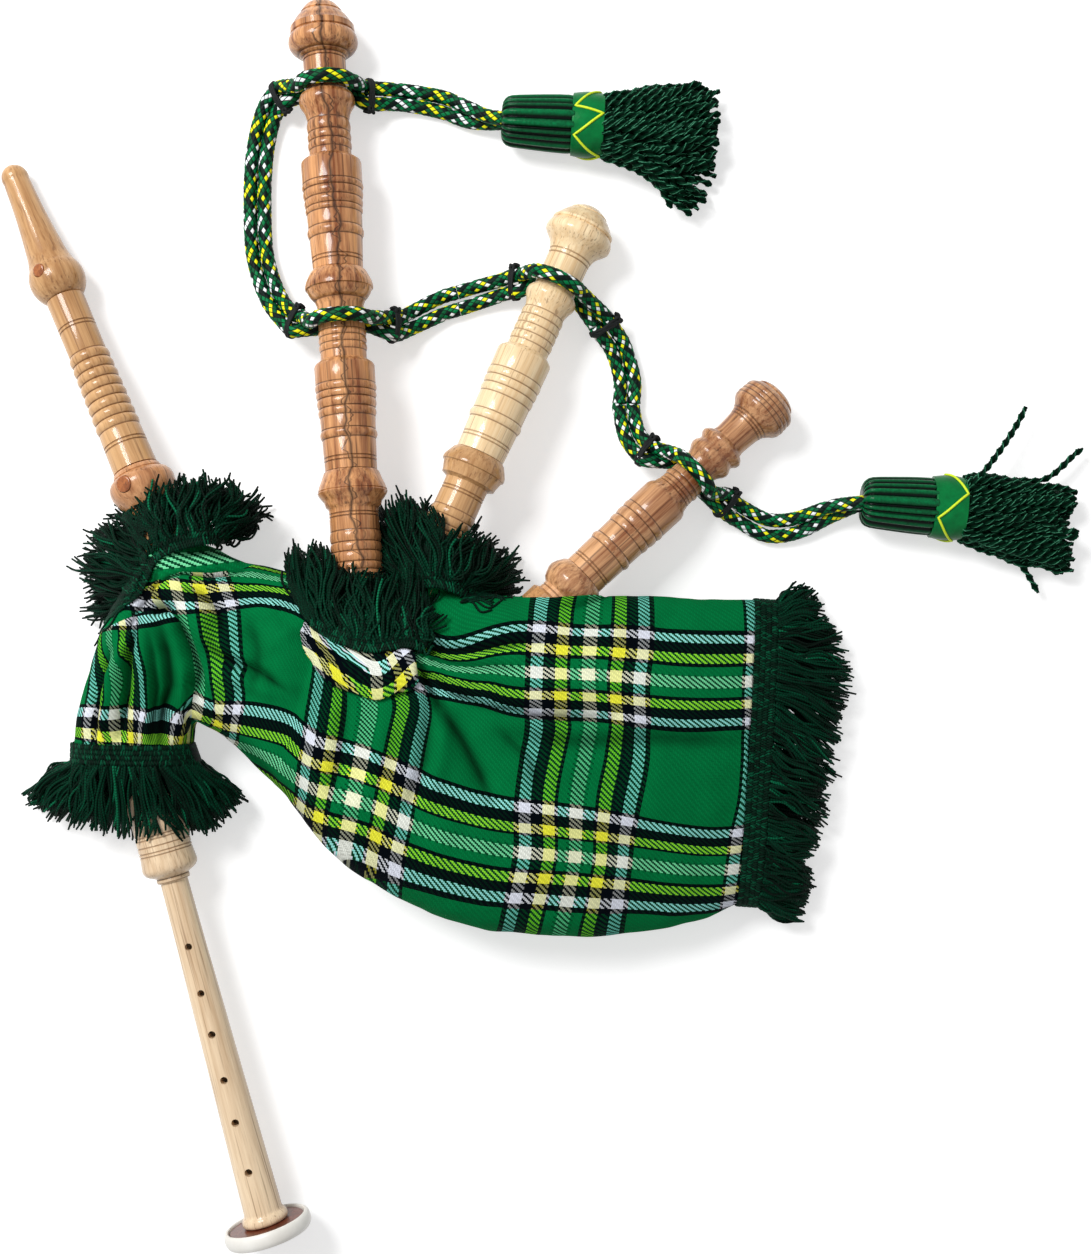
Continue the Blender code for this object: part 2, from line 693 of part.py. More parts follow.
def bag_and_cover():
    cover = lofted("bag_cover", "tartan_cloth", cover_rings(0.0), cover_rings(-CLOTH))
    around = STOCK + 0.6
    pass_through(cover, "bass", around, 262.0, 345.0)
    pass_through(cover, "tenor_left", around, 160.0, 215.0)
    pass_through(cover, "tenor_right", 17.0, 125.0, 195.0)
    pass_through(cover, "blowpipe", around, 180.0, 238.0)
    bag = lofted("air_bag", "bag_leather", bag_rings(0.0))
    cut(bag, helper(lofted("bag_hollow", None, bag_rings(-BAG_SKIN))))
    close = STOCK + GAP
    pass_through(bag, "bass", close, 275.0, 345.0)
    pass_through(bag, "tenor_left", close, 170.0, 215.0)
    pass_through(bag, "tenor_right", close, 145.0, 200.0)
    pass_through(bag, "blowpipe", close, 180.0, 238.0)
    pass_through(bag, "chanter", close, -75.0, 0.0)


# Fringes

def ruff(name, pipe, base_at, tip_at, reach, thick=3.0):
    """A flared fringe round a stock, its length round the pipe given from the level side up and round."""
    place = axis_matrix(pipe)
    count = 18
    base_radius = STOCK + 0.6
    loops = []
    for share, half in ((0.0, 0.5), (0.5, 0.5), (1.0, 0.25)):
        for side in (-1, 1):
            ring = []
            for k in range(count):
                turn = len(reach) * k / count
                low = int(turn)
                part = turn - low
                length = reach[low % len(reach)] * (1 - part) + reach[(low + 1) % len(reach)] * part
                angle = 2 * math.pi * k / count
                outward = place.to_3x3() @ Vector((math.cos(angle), math.sin(angle), 0.0))
                drop = base_at + (tip_at - base_at) * share ** 1.6
                centre = place @ Vector((0, 0, drop * MM)) / MM
                if outward.z < 0:
                    length = min(length, (centre.z - FLOOR) / -outward.z - thick / 2)
                radius = base_radius + (length - base_radius) * share
                spot = centre + outward * radius
                spot = spot + place.to_3x3() @ Vector((0, 0, side * half * thick))
                ring.append((spot.x, spot.y, max(spot.z, FLOOR)))
            loops.append((side, ring))
    outer = [ring for side, ring in loops if side < 0]
    inner = [ring for side, ring in loops if side > 0]
    return lofted(name, "fringe_thread", outer, inner)


def skirt(name, rows, wall):
    """A hanging fringe: a hollow sleeve of threads through the given cross-sections."""
    outer = [section(low, high, tall, 0.0, FLOOR) for low, high, tall in rows]
    inner = [section(low, high, tall, -wall, FLOOR + wall) for low, high, tall in rows]
    return lofted(name, "fringe_thread", outer, inner)


def fringes():
    ruff("blowpipe_fringe", "blowpipe", 200.0, 192.0, (36.0, 38.0, 34.0, 30.0, 40.0, 44.0, 40.0, 36.0))
    ruff("bass_fringe", "bass", 280.6, 274.0, (20.5, 22.0, 31.0, 32.0, 34.0, 36.0, 30.0, 20.5))
    ruff("tenor_left_fringe", "tenor_left", 178.0, 172.0, (29.0, 31.0, 30.0, 30.0, 31.0, 30.0, 31.0, 30.0))
    skirt("chanter_fringe", (
        ((-110.5, -60.7), (-169.0, -59.7), 42.0),
        ((-102.0, -78.0), (-178.0, -77.0), 43.0),
        ((-94.0, -98.0), (-184.0, -96.0), 38.0),
    ), 2.5)
    skirt("rear_fringe", (
        ((156.0, -138.2), (165.0, 10.3), 34.0),
        ((171.0, -139.0), (184.0, 9.0), 28.0),
        ((186.0, -138.0), (204.0, 5.0), 18.0),
    ), 2.5)


# Tassels

def tassel(number, root, end):
    """Cord knob, satin band and flattened skirt of threads, lying on the table."""
    start = Vector(root)
    finish = Vector(end)
    along = (finish - start).normalized()
    across = Vector((-along.y, along.x, 0.0))

    def ring(at, wide, low, high):
        middle = start + along * at
        points = []
        for k in range(RING):
            angle = 2 * math.pi * k / RING
            z = (low + high) / 2 + (high - low) / 2 * math.sin(angle)
            spot = middle + across * (wide * math.cos(angle))
            points.append((spot.x, spot.y, z))
        return points

    name = "tassel_" + str(number)
    knob = [ring(1.8, 9.0, 5.0, 23.0)]
    for i in range(7):
        share = i / 6
        rib = 0.0 if i % 2 else 0.7
        radius = 12.6 + rib + 0.7 * math.sin(math.pi * share)
        knob.append(ring(3.4 + 27.6 * share, radius, 14.0 - radius, 14.0 + radius))
    knob.append(ring(32.6, 11.5, 2.5, 25.5))
    lofted(name + "_head", "tassel_thread", knob)
    lofted(name + "_band", "satin_band", [
        ring(33.0, 15.2, 1.0, 28.0),
        ring(35.5, 16.4, FLOOR, 29.5),
        ring(46.5, 16.6, FLOOR, 30.0),
        ring(48.7, 15.6, 1.0, 29.0),
    ])
    lofted(name + "_skirt", "tassel_thread", [
        ring(49.1, 14.6, 1.2, 28.0),
        ring(56.0, 17.6, FLOOR, 29.0),
        ring(72.0, 20.5, FLOOR, 27.0),
        ring(90.0, 25.0, FLOOR, 22.0),
        ring(106.0, 29.0, FLOOR, 14.0),
    ])


# The cord and its bands

def beside(i, step):
    """Middle of the pair at the row before or after this one."""
    row = CORD[i + step]
    if row[0] != "loop":
        return Vector(row[1])
    _, pipe, at, neck, _, travel = row
    side = -step * travel * (neck + STRAND / 2)
    return axis_matrix(pipe) @ (Vector((side, 0.0, at)) * MM) / MM


def band_direction(i):
    """Direction of the cord through a band, square to the line between its strands."""
    along = beside(i, 1) - beside(i, -1)
    half = Vector(CORD[i][2]).normalized()
    along = along - half * along.dot(half)
    return along.normalized()


def round_pipe(row, strand):
    """Points of one strand over or under the neck of a pipe."""
    _, pipe, at, neck, upper, travel = row
    over = strand == upper
    spread = OVER_SPREAD if over else UNDER_SPREAD
    count = 5 if over else 4
    radius = neck + STRAND / 2 + LOOP_ROOM
    points = []
    for k in range(count):
        angle = math.radians(spread) * (2 * k / (count - 1) - 1)
        local = Vector((travel * radius * math.sin(angle),
                        radius * math.cos(angle) * (1 if over else -1), at))
        points.append(axis_matrix(pipe) @ (local * MM) / MM)
    return points


def strand_route(strand):
    """Points of a strand from tassel to tassel, and the indices after which it is divided."""
    points = []
    cuts = []
    for i, row in enumerate(CORD):
        if row[0] == "loop":
            points += round_pipe(row, strand)
            continue
        spot = Vector(row[1]) + Vector(row[2]) * (1 if strand == 1 else -1)
        if row[0].startswith("band"):
            reach = band_direction(i) * (BAND_LENGTH / 2 + 1.0)
            points += [spot - reach, spot + reach]
            if row[0] == "band_cut":
                cuts.append(len(points) - 2)
        else:
            points.append(spot)
            if row[0] == "run_cut":
                cuts.append(len(points) - 1)
    return points, cuts


def divided(points, cuts):
    """The stretches of a strand, each ending halfway along a straight step with a small gap."""
    stretches = []
    start = []
    for i, point in enumerate(points):
        start.append(point)
        if i in cuts:
            middle = (point + points[i + 1]) / 2
            back = (point - points[i + 1]).normalized() * (GAP / 2)
            stretches.append(start + [middle + back])
            start = [middle - back]
    return stretches + [start]


def cord_node(name, route):
    curve = bpy.data.curves.new(name, "CURVE")
    curve.dimensions = "3D"
    curve.bevel_depth = STRAND / 2 * MM
    curve.bevel_resolution = 2
    curve.use_fill_caps = True
    spline = curve.splines.new("POLY")
    spline.points.add(len(route) - 1)
    for point, spot in zip(spline.points, route):
        point.co = (*(spot * MM), 1.0)
    curve.materials.append(finish_material("green_cord"))
    obj = bpy.data.objects.new(name, curve)
    bpy.context.scene.collection.objects.link(obj)


def cords():
    for strand in (1, 2):
        for name, route in zip(STRETCHES, divided(*strand_route(strand))):
            cord_node("cord_" + str(strand) + "_" + name, route)


def band(name, i):
    """A black keeper round both strands."""
    middle = Vector(CORD[i][1])
    across = Vector(CORD[i][2]).normalized()
    spread = Vector(CORD[i][2]).length
    along = band_direction(i)
    normal = along.cross(across)

    def ring(at, grow):
        radius = STRAND / 2 + grow
        points = []
        for side, base in ((1, -90), (-1, 90)):
            for k in range(4):
                angle = math.radians(base + 180 * k / 3)
                spot = middle + along * at + across * (side * spread + radius * math.cos(angle))
                spot = spot + normal * (radius * math.sin(angle))
                points.append(tuple(spot))
        return points

    half = BAND_LENGTH / 2
    outer = [ring(-half, BAND_ROOM + BAND_WALL), ring(half, BAND_ROOM + BAND_WALL)]
    inner = [ring(-half, BAND_ROOM), ring(half, BAND_ROOM)]
    lofted(name, "black_band", outer, inner)


def bands():
    places = ("bass_top_right", "bass_top_left", "bass_middle_left", "bass_middle_right",
              "tenor_left_outer", "tenor_left_inner", "tenor_right_outer", "tenor_right_inner")
    stations = [i for i, row in enumerate(CORD) if row[0].startswith("band")]
    for place, i in zip(places, stations):
        band("cord_band_" + place, i)


clear_scene()
axes = {pipe: add_axis(pipe) for pipe in PIPE_AXES}
bass_drone(axes["bass"])
left_tenor_drone(axes["tenor_left"])
right_tenor_drone(axes["tenor_right"])
blowpipe(axes["blowpipe"])
chanter(axes["chanter"])
bag_and_cover()
fringes()
tassel(1, (41.3, 246.8, 14.0), (146.6, 240.9, 14.0))
tassel(2, (217.9, 59.4, 14.0), (326.7, 51.5, 14.0))
cords()
bands()
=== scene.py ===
# %% [markdown]
# # A miniature bagpipe, seen from above
# A small bagpipe lies flat: three drones, a blowpipe and a chanter stand in a bag under a
# tartan cover, and a plaited cord with two tassels links the drones.
# The solids of the instrument are already packed in one frame. This lesson dresses them:
# it adds the fine turning of the wood, the woven cloth, the yarn of the fringes and the cord.
# Everything is measured in millimetres here and turned into metres when a mesh is made.

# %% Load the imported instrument
import json
import math
import random

import bpy
import numpy as np
from mathutils import Matrix, Vector, noise
from mathutils.bvhtree import BVHTree

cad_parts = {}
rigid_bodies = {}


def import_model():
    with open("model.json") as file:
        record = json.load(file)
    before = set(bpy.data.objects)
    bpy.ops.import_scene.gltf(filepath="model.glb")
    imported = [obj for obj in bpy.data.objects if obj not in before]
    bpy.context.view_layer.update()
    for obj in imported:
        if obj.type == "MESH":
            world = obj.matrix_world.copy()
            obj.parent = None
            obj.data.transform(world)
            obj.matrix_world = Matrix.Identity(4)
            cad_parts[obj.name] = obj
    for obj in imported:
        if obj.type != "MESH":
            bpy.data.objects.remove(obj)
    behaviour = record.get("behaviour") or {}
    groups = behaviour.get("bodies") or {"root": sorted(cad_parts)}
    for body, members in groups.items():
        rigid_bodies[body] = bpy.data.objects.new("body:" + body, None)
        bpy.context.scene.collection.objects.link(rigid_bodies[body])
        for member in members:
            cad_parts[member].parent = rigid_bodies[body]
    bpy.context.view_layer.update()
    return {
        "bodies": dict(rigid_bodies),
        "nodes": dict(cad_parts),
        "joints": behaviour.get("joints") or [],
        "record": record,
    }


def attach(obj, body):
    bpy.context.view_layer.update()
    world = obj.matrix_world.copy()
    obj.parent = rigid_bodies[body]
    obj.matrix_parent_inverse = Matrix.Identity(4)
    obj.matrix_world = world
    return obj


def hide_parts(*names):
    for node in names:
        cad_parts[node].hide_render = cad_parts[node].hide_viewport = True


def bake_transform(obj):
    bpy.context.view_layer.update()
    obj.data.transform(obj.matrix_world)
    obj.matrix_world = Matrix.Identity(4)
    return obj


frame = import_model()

MM = 0.001
print("nodes in the frame:", len(frame["nodes"]))

# %% [markdown]
# ## Camera
# The picture was taken from straight above, so the camera looks down the Z axis with the
# drones pointing to the top of the frame. A 50 mm lens on a 36 mm sensor, 870 mm above the
# table, keeps the slight enlargement of the parts that stand higher.

# %% Camera
CAMERA_PLACE = (61.25, -2.1, 870.0)
camera_data = bpy.data.cameras.new("camera")
camera_data.lens = 50
camera_data.sensor_width = 36
camera = bpy.data.objects.new("camera", camera_data)
camera.location = [c * MM for c in CAMERA_PLACE]
bpy.context.scene.collection.objects.link(camera)
bpy.context.scene.camera = camera
print("camera height", camera.location.z)

# %% [markdown]
# ## Small tools for meshes
# Every piece is built from rows of points. One helper turns rows into faces, one makes a
# tube along a line, and one hands the result to the frame.

# %% Mesh tools
def add_mesh(name, points, faces, material, matrix=None, smooth=True):
    mesh = bpy.data.meshes.new(name)
    mesh.from_pydata([tuple(c * MM for c in p) for p in points], [], faces)
    if smooth:
        mesh.shade_smooth()
    mesh.materials.append(material)
    obj = bpy.data.objects.new(name, mesh)
    bpy.context.scene.collection.objects.link(obj)
    if matrix:
        obj.matrix_world = matrix
    return obj


def grid_faces(rows, columns, closed=True, start=0):
    """Quads between rows of points, each row closed into a ring or left open."""
    faces = []
    for i in range(rows - 1):
        for k in range(columns if closed else columns - 1):
            j = (k + 1) % columns
            a = start + i * columns
            faces.append((a + k, a + j, a + columns + j, a + columns + k))
    return faces


def set_attribute(obj, name, values, kind="FLOAT_VECTOR"):
    layer = obj.data.attributes.new(name, kind, "POINT")
    for item, value in zip(layer.data, values):
        if kind == "FLOAT_VECTOR":
            item.vector = value
        else:
            item.value = value


def curve_through(points, step):
    """A smooth line through the points, with a point about every step millimetres."""
    points = [Vector(p) for p in points]
    ends = [2 * points[0] - points[1]] + points + [2 * points[-1] - points[-2]]
    line = []
    for a, b, c, d in zip(ends, ends[1:], ends[2:], ends[3:]):
        count = max(1, round((c - b).length / step))
        for i in range(count):
            t = i / count
            line.append(0.5 * (2 * b + (c - a) * t + (2 * a - 5 * b + 4 * c - d) * t * t
                               + (3 * b - a - 3 * c + d) * t * t * t))
    return line + [points[-1]]


def line_frames(line):
    """Two directions square to the line at each point, carried along without twisting."""
    frames = []
    side = None
    for i, point in enumerate(line):
        along = (line[min(i + 1, len(line) - 1)] - line[max(i - 1, 0)]).normalized()
        if side is None:
            side = along.orthogonal().normalized()
        side = (side - along * side.dot(along)).normalized()
        frames.append((point, side, along.cross(side)))
    return frames


def line_length(line):
    return sum((b - a).length for a, b in zip(line, line[1:]))


# %% [markdown]
# ## Small tools for materials
# Materials are made of nodes. This shorthand adds a node, joins its inputs and hands back
# its output, so that a material reads like a recipe.

# %% Node shorthand
class Recipe:
    def __init__(self, tree):
        self.tree = tree

    def add(self, kind, inputs=None, output=0, **settings):
        node = self.tree.nodes.new(kind)
        for key, value in settings.items():
            setattr(node, key, value)
        for key, value in (inputs or {}).items():
            self.join(value, node.inputs[key])
        return node if output is None else node.outputs[output]

    def join(self, value, socket):
        if isinstance(value, bpy.types.NodeSocket):
            self.tree.links.new(value, socket)
        elif isinstance(value, (tuple, list)) and socket.type == "RGBA" and len(value) == 3:
            socket.default_value = (*value, 1.0)
        else:
            socket.default_value = value

    def math(self, operation, a, b=0.0, clamp=False):
        return self.add("ShaderNodeMath", {0: a, 1: b}, operation=operation, use_clamp=clamp)

    def mix(self, share, a, b, blend="MIX"):
        return self.add("ShaderNodeMix", {0: share, 6: a, 7: b}, 2,
                        data_type="RGBA", blend_type=blend)

    def noise(self, place, scale, detail=3.0, rough=0.5, output=0):
        return self.add("ShaderNodeTexNoise", {"Vector": place, "Scale": scale,
                                               "Detail": detail, "Roughness": rough}, output)

    def ramp(self, value, stops, mode="LINEAR"):
        node = self.add("ShaderNodeValToRGB", {0: value}, None)
        node.color_ramp.interpolation = mode
        elements = node.color_ramp.elements
        while len(elements) > 1:
            elements.remove(elements[-1])
        for i, (at, colour) in enumerate(stops):
            item = elements[0] if i == 0 else elements.new(at)
            item.position = at
            item.color = (*colour, 1.0)
        return node.outputs[0]

    def stretched(self, place, scale):
        return self.add("ShaderNodeMapping", {"Vector": place, "Scale": scale})


def paint(r, g, b):
    """A colour written as on a paint card, from 0 to 255, as the linear values nodes use."""
    return tuple(c / 255 / 12.92 if c <= 10 else ((c / 255 + 0.055) / 1.055) ** 2.4
                 for c in (r, g, b))


def new_material(name):
    material = bpy.data.materials.new(name)
    material.use_nodes = True
    recipe = Recipe(material.node_tree)
    return material, recipe, material.node_tree.nodes["Principled BSDF"]


# %% [markdown]
# ## Floor and light
# A pale floor takes the soft shadow. Seen by the camera and in reflections, the floor and
# the world glow white, so that the background is white without any more light on the wood.

# %% Floor and light
def seen_rays(r):
    """One for the rays that show a background: camera, glossy and transmission rays."""
    rays = r.add("ShaderNodeLightPath", None, None)
    seen = r.math("ADD", rays.outputs["Is Camera Ray"], rays.outputs["Is Glossy Ray"], True)
    return r.math("ADD", seen, rays.outputs["Is Transmission Ray"], True)


def build_stage():
    size = 3000.0
    corners = [(-size, -size, 0), (size, -size, 0), (size, size, 0), (-size, size, 0)]
    material, r, shader = new_material("floor")
    shader.inputs["Base Color"].default_value = (0.7, 0.7, 0.7, 1)
    shader.inputs["Roughness"].default_value = 0.9
    shader.inputs["Specular IOR Level"].default_value = 0.0
    shader.inputs["Emission Color"].default_value = (1, 1, 1, 1)
    r.join(r.math("MULTIPLY", seen_rays(r), 0.52), shader.inputs["Emission Strength"])
    floor = add_mesh("floor", corners, [(0, 1, 2, 3)], material, smooth=False)
    world = bpy.data.worlds.new("studio")
    bpy.context.scene.world = world
    world.use_nodes = True
    r = Recipe(world.node_tree)
    back = world.node_tree.nodes["Background"]
    r.join(r.math("ADD", r.math("MULTIPLY", seen_rays(r), 0.56), 0.44), back.inputs["Strength"])
    back.inputs["Color"].default_value = (1, 1, 1, 1)
    lamp_data = bpy.data.lights.new("window", "AREA")
    lamp_data.energy = 27
    lamp_data.size = 0.6
    lamp = bpy.data.objects.new("window", lamp_data)
    bpy.context.scene.collection.objects.link(lamp)
    lamp.location = (-0.75, 0.75, 1.3)
    aim = Vector((0.05, 0.0, 0.0)) - lamp.location
    lamp.rotation_euler = aim.to_track_quat("-Z", "Y").to_euler()
    bpy.context.scene.view_settings.view_transform = "Standard"


build_stage()

# %% [markdown]
# ## Wood
# All the pipes are turned from pale hardwoods. Seen close, such wood is long streaks of
# light and dark along the pipe, thin dark lines and fine pores, and every turned groove is
# darkened with painted shade. The grain is one node group, built once: it stretches a noise along
# the pipe and each wood mixes its own colours through it. The bass has one more mark, a
# dark vein that wanders down its front through all three joints.

# %% Grain group
def grain_group():
    group = bpy.data.node_groups.new("wood_grain", "ShaderNodeTree")
    for name, kind in (("Place", "NodeSocketVector"), ("Streak", "NodeSocketFloat"),
                       ("Vein", "NodeSocketFloat"), ("Groove", "NodeSocketFloat"),
                       ("Light", "NodeSocketColor"), ("Dark", "NodeSocketColor"),
                       ("Vein Color", "NodeSocketColor")):
        group.interface.new_socket(name, in_out="INPUT", socket_type=kind)
    for name, kind in (("Color", "NodeSocketColor"), ("Roughness", "NodeSocketFloat"),
                       ("Height", "NodeSocketFloat")):
        group.interface.new_socket(name, in_out="OUTPUT", socket_type=kind)
    r = Recipe(group)
    given = r.add("NodeGroupInput", None, None)
    place = given.outputs["Place"]
    wide = r.noise(r.stretched(place, (90, 90, 7)), 1.0, 4.0, 0.6)
    fine = r.noise(r.stretched(place, (480, 480, 18)), 1.0, 5.0, 0.65)
    lines = r.noise(r.stretched(place, (900, 900, 10)), 1.0, 2.0, 0.5)
    pores = r.noise(r.stretched(place, (1800, 1800, 90)), 1.0, 2.0, 0.5)
    streaks = r.math("ADD", r.math("MULTIPLY", wide, 0.55), r.math("MULTIPLY", fine, 0.45))
    share = r.math("MULTIPLY", r.math("SUBTRACT", streaks, 0.38), 4.2, True)
    share = r.math("MULTIPLY", share, given.outputs["Streak"])
    colour = r.mix(share, given.outputs["Light"], given.outputs["Dark"])
    line = r.math("MULTIPLY", r.math("SUBTRACT", lines, 0.57), 8.0, True)
    line = r.math("MULTIPLY", line, r.math("MULTIPLY", given.outputs["Streak"], 0.6))
    pore = r.math("MULTIPLY", r.math("SUBTRACT", pores, 0.6), 4.0, True)
    dark = r.math("MAXIMUM", line, r.math("MULTIPLY", pore, 0.35))
    dark = r.math("MAXIMUM", dark, given.outputs["Vein"])
    # painted shade: the turned grooves are darkened as shade would lie in them
    dark = r.math("MAXIMUM", dark, r.math("MULTIPLY", given.outputs["Groove"], 0.85))
    colour = r.mix(dark, colour, given.outputs["Vein Color"])
    rough = r.math("ADD", 0.3, r.math("MULTIPLY", dark, 0.25))
    height = r.math("SUBTRACT", r.math("MULTIPLY", fine, 0.5), r.math("MULTIPLY", dark, 0.5))
    r.add("NodeGroupOutput", {"Color": colour, "Roughness": rough, "Height": height}, None)
    return group


def wandering_vein(r, place):
    """A dark line down the front of a pipe that wanders a few millimetres, with a branch."""
    split = r.add("ShaderNodeSeparateXYZ", {0: place}, None)
    along = r.add("ShaderNodeCombineXYZ", {2: split.outputs[2]})
    middle = 0.0016
    result = None
    for scale, reach, half in ((30.0, 0.02, 0.0013), (64.0, 0.03, 0.0007)):
        bend = r.noise(along, scale, 3.0, 0.6)
        line = r.math("ADD", middle, r.math("MULTIPLY", r.math("SUBTRACT", bend, 0.5), reach))
        gap = r.math("ABSOLUTE", r.math("SUBTRACT", split.outputs[0], line))
        mark = r.math("SUBTRACT", 1.0, r.math("DIVIDE", gap, half), True)
        result = mark if result is None else r.math("MAXIMUM", result, mark)
        middle = line
    front = r.math("GREATER_THAN", split.outputs[1], 0.0)
    return r.math("MULTIPLY", r.math("MULTIPLY", result, front), 0.9)


GRAIN = grain_group()


def wood(name, light, dark, vein_colour, streak=0.9, veined=False):
    material, r, shader = new_material(name)
    place = r.add("ShaderNodeTexCoord", None, "Object")
    groove = r.add("ShaderNodeAttribute", None, "Fac", attribute_name="groove")
    grain = r.add("ShaderNodeGroup", None, None, node_tree=GRAIN)
    vein = wandering_vein(r, place) if veined else 0.0
    for key, value in (("Place", place), ("Streak", streak), ("Vein", vein),
                       ("Groove", groove), ("Light", paint(*light)), ("Dark", paint(*dark)),
                       ("Vein Color", paint(*vein_colour))):
        r.join(value, grain.inputs[key])
    r.join(grain.outputs["Color"], shader.inputs["Base Color"])
    r.join(grain.outputs["Roughness"], shader.inputs["Roughness"])
    bump = r.add("ShaderNodeBump", {"Height": grain.outputs["Height"], "Strength": 0.25,
                                    "Distance": 0.0004}, "Normal")
    r.join(bump, shader.inputs["Normal"])
    shader.inputs["Specular IOR Level"].default_value = 0.15
    shader.inputs["Coat Weight"].default_value = 0.4
    shader.inputs["Coat Roughness"].default_value = 0.1
    return material


WOODS = {
    "bass_wood": wood("bass_wood", (232, 170, 114), (122, 66, 32), (26, 10, 4), 1.0, True),
    "tenor_wood": wood("tenor_wood", (250, 228, 188), (220, 184, 136), (116, 74, 38)),
    "dark_tenor_wood": wood("dark_tenor_wood", (224, 172, 124), (128, 74, 40), (44, 20, 8), 1.0),
    "blowpipe_wood": wood("blowpipe_wood", (212, 168, 118), (156, 110, 66), (92, 52, 24)),
    "mount_wood": wood("mount_wood", (216, 160, 112), (146, 92, 54), (52, 24, 10)),
    "chanter_wood": wood("chanter_wood", (242, 218, 184), (200, 168, 132), (112, 72, 38)),
    "peg_wood": wood("peg_wood", (174, 106, 60), (120, 64, 34), (50, 24, 12)),
    "stock_wood": wood("stock_wood", (200, 150, 100), (160, 110, 66), (90, 50, 25)),
    "sole_wood": wood("sole_wood", (118, 58, 38), (72, 30, 20), (34, 14, 8)),
    "cane": wood("cane", (222, 200, 140), (196, 166, 100), (150, 110, 60)),
}
print("woods:", len(WOODS))

# %% [markdown]
# ## Plain finishes
# The rim of the sole is moulded plastic, the air bag and the valve are leather, and the
# windings are waxed thread.

# %% Plain finishes
def simple(name, light, dark, scale, roughness, shine=0.5, bump=0.3):
    material, r, shader = new_material(name)
    place = r.add("ShaderNodeTexCoord", None, "Object")
    spots = r.noise(place, scale, 5.0, 0.6)
    colour = r.mix(r.math("MULTIPLY", r.math("SUBTRACT", spots, 0.3), 2.2, True),
                   paint(*light), paint(*dark))
    # painted shade: a per-point attribute darkens the colour towards near black where shade is painted in
    groove = r.add("ShaderNodeAttribute", None, "Fac", attribute_name="groove")
    colour = r.mix(groove, colour, (0.0, 0.002, 0.001))
    r.join(colour, shader.inputs["Base Color"])
    shader.inputs["Specular IOR Level"].default_value = shine
    r.join(r.math("ADD", roughness - 0.05, r.math("MULTIPLY", spots, 0.1)),
           shader.inputs["Roughness"])
    r.join(r.add("ShaderNodeBump", {"Height": spots, "Strength": bump, "Distance": 0.0005},
                 "Normal"), shader.inputs["Normal"])
    return material


PLAIN = {
    "sole_rim_plastic": simple("sole_rim_plastic", (240, 238, 232), (222, 218, 210), 60, 0.32),
    "hemp": simple("hemp", (214, 188, 140), (170, 140, 96), 900, 0.85),
    "valve_leather": simple("valve_leather", (90, 60, 40), (56, 36, 24), 400, 0.65),
    "bag_leather": simple("bag_leather", (116, 92, 70), (80, 60, 44), 260, 0.7),
    "black_band": simple("black_band", (12, 18, 18), (2, 5, 5), 900, 0.7, 0.25),
    "tassel_thread": simple("tassel_thread", (0, 120, 66), (0, 72, 40), 700, 0.2, 0.1),
    "satin_band": simple("satin_band", (0, 124, 60), (0, 96, 46), 200, 0.24, 0.1),
    "zigzag_thread": simple("zigzag_thread", (226, 244, 50), (196, 224, 30), 900, 0.5, 0.3),
    "fringe_thread": simple("fringe_thread", (8, 84, 52), (1, 34, 22), 500, 0.7, 0.2),
    "green_cord": simple("green_cord", (10, 120, 66), (2, 30, 20), 500, 0.55, 0.2),
}
FINISHES = {**WOODS, **PLAIN}

for name, node in frame["nodes"].items():
    slot_name = node.data.materials[0].name.split(".")[0] if node.data.materials else ""
    if slot_name in FINISHES:
        node.data.materials[0] = FINISHES[slot_name]
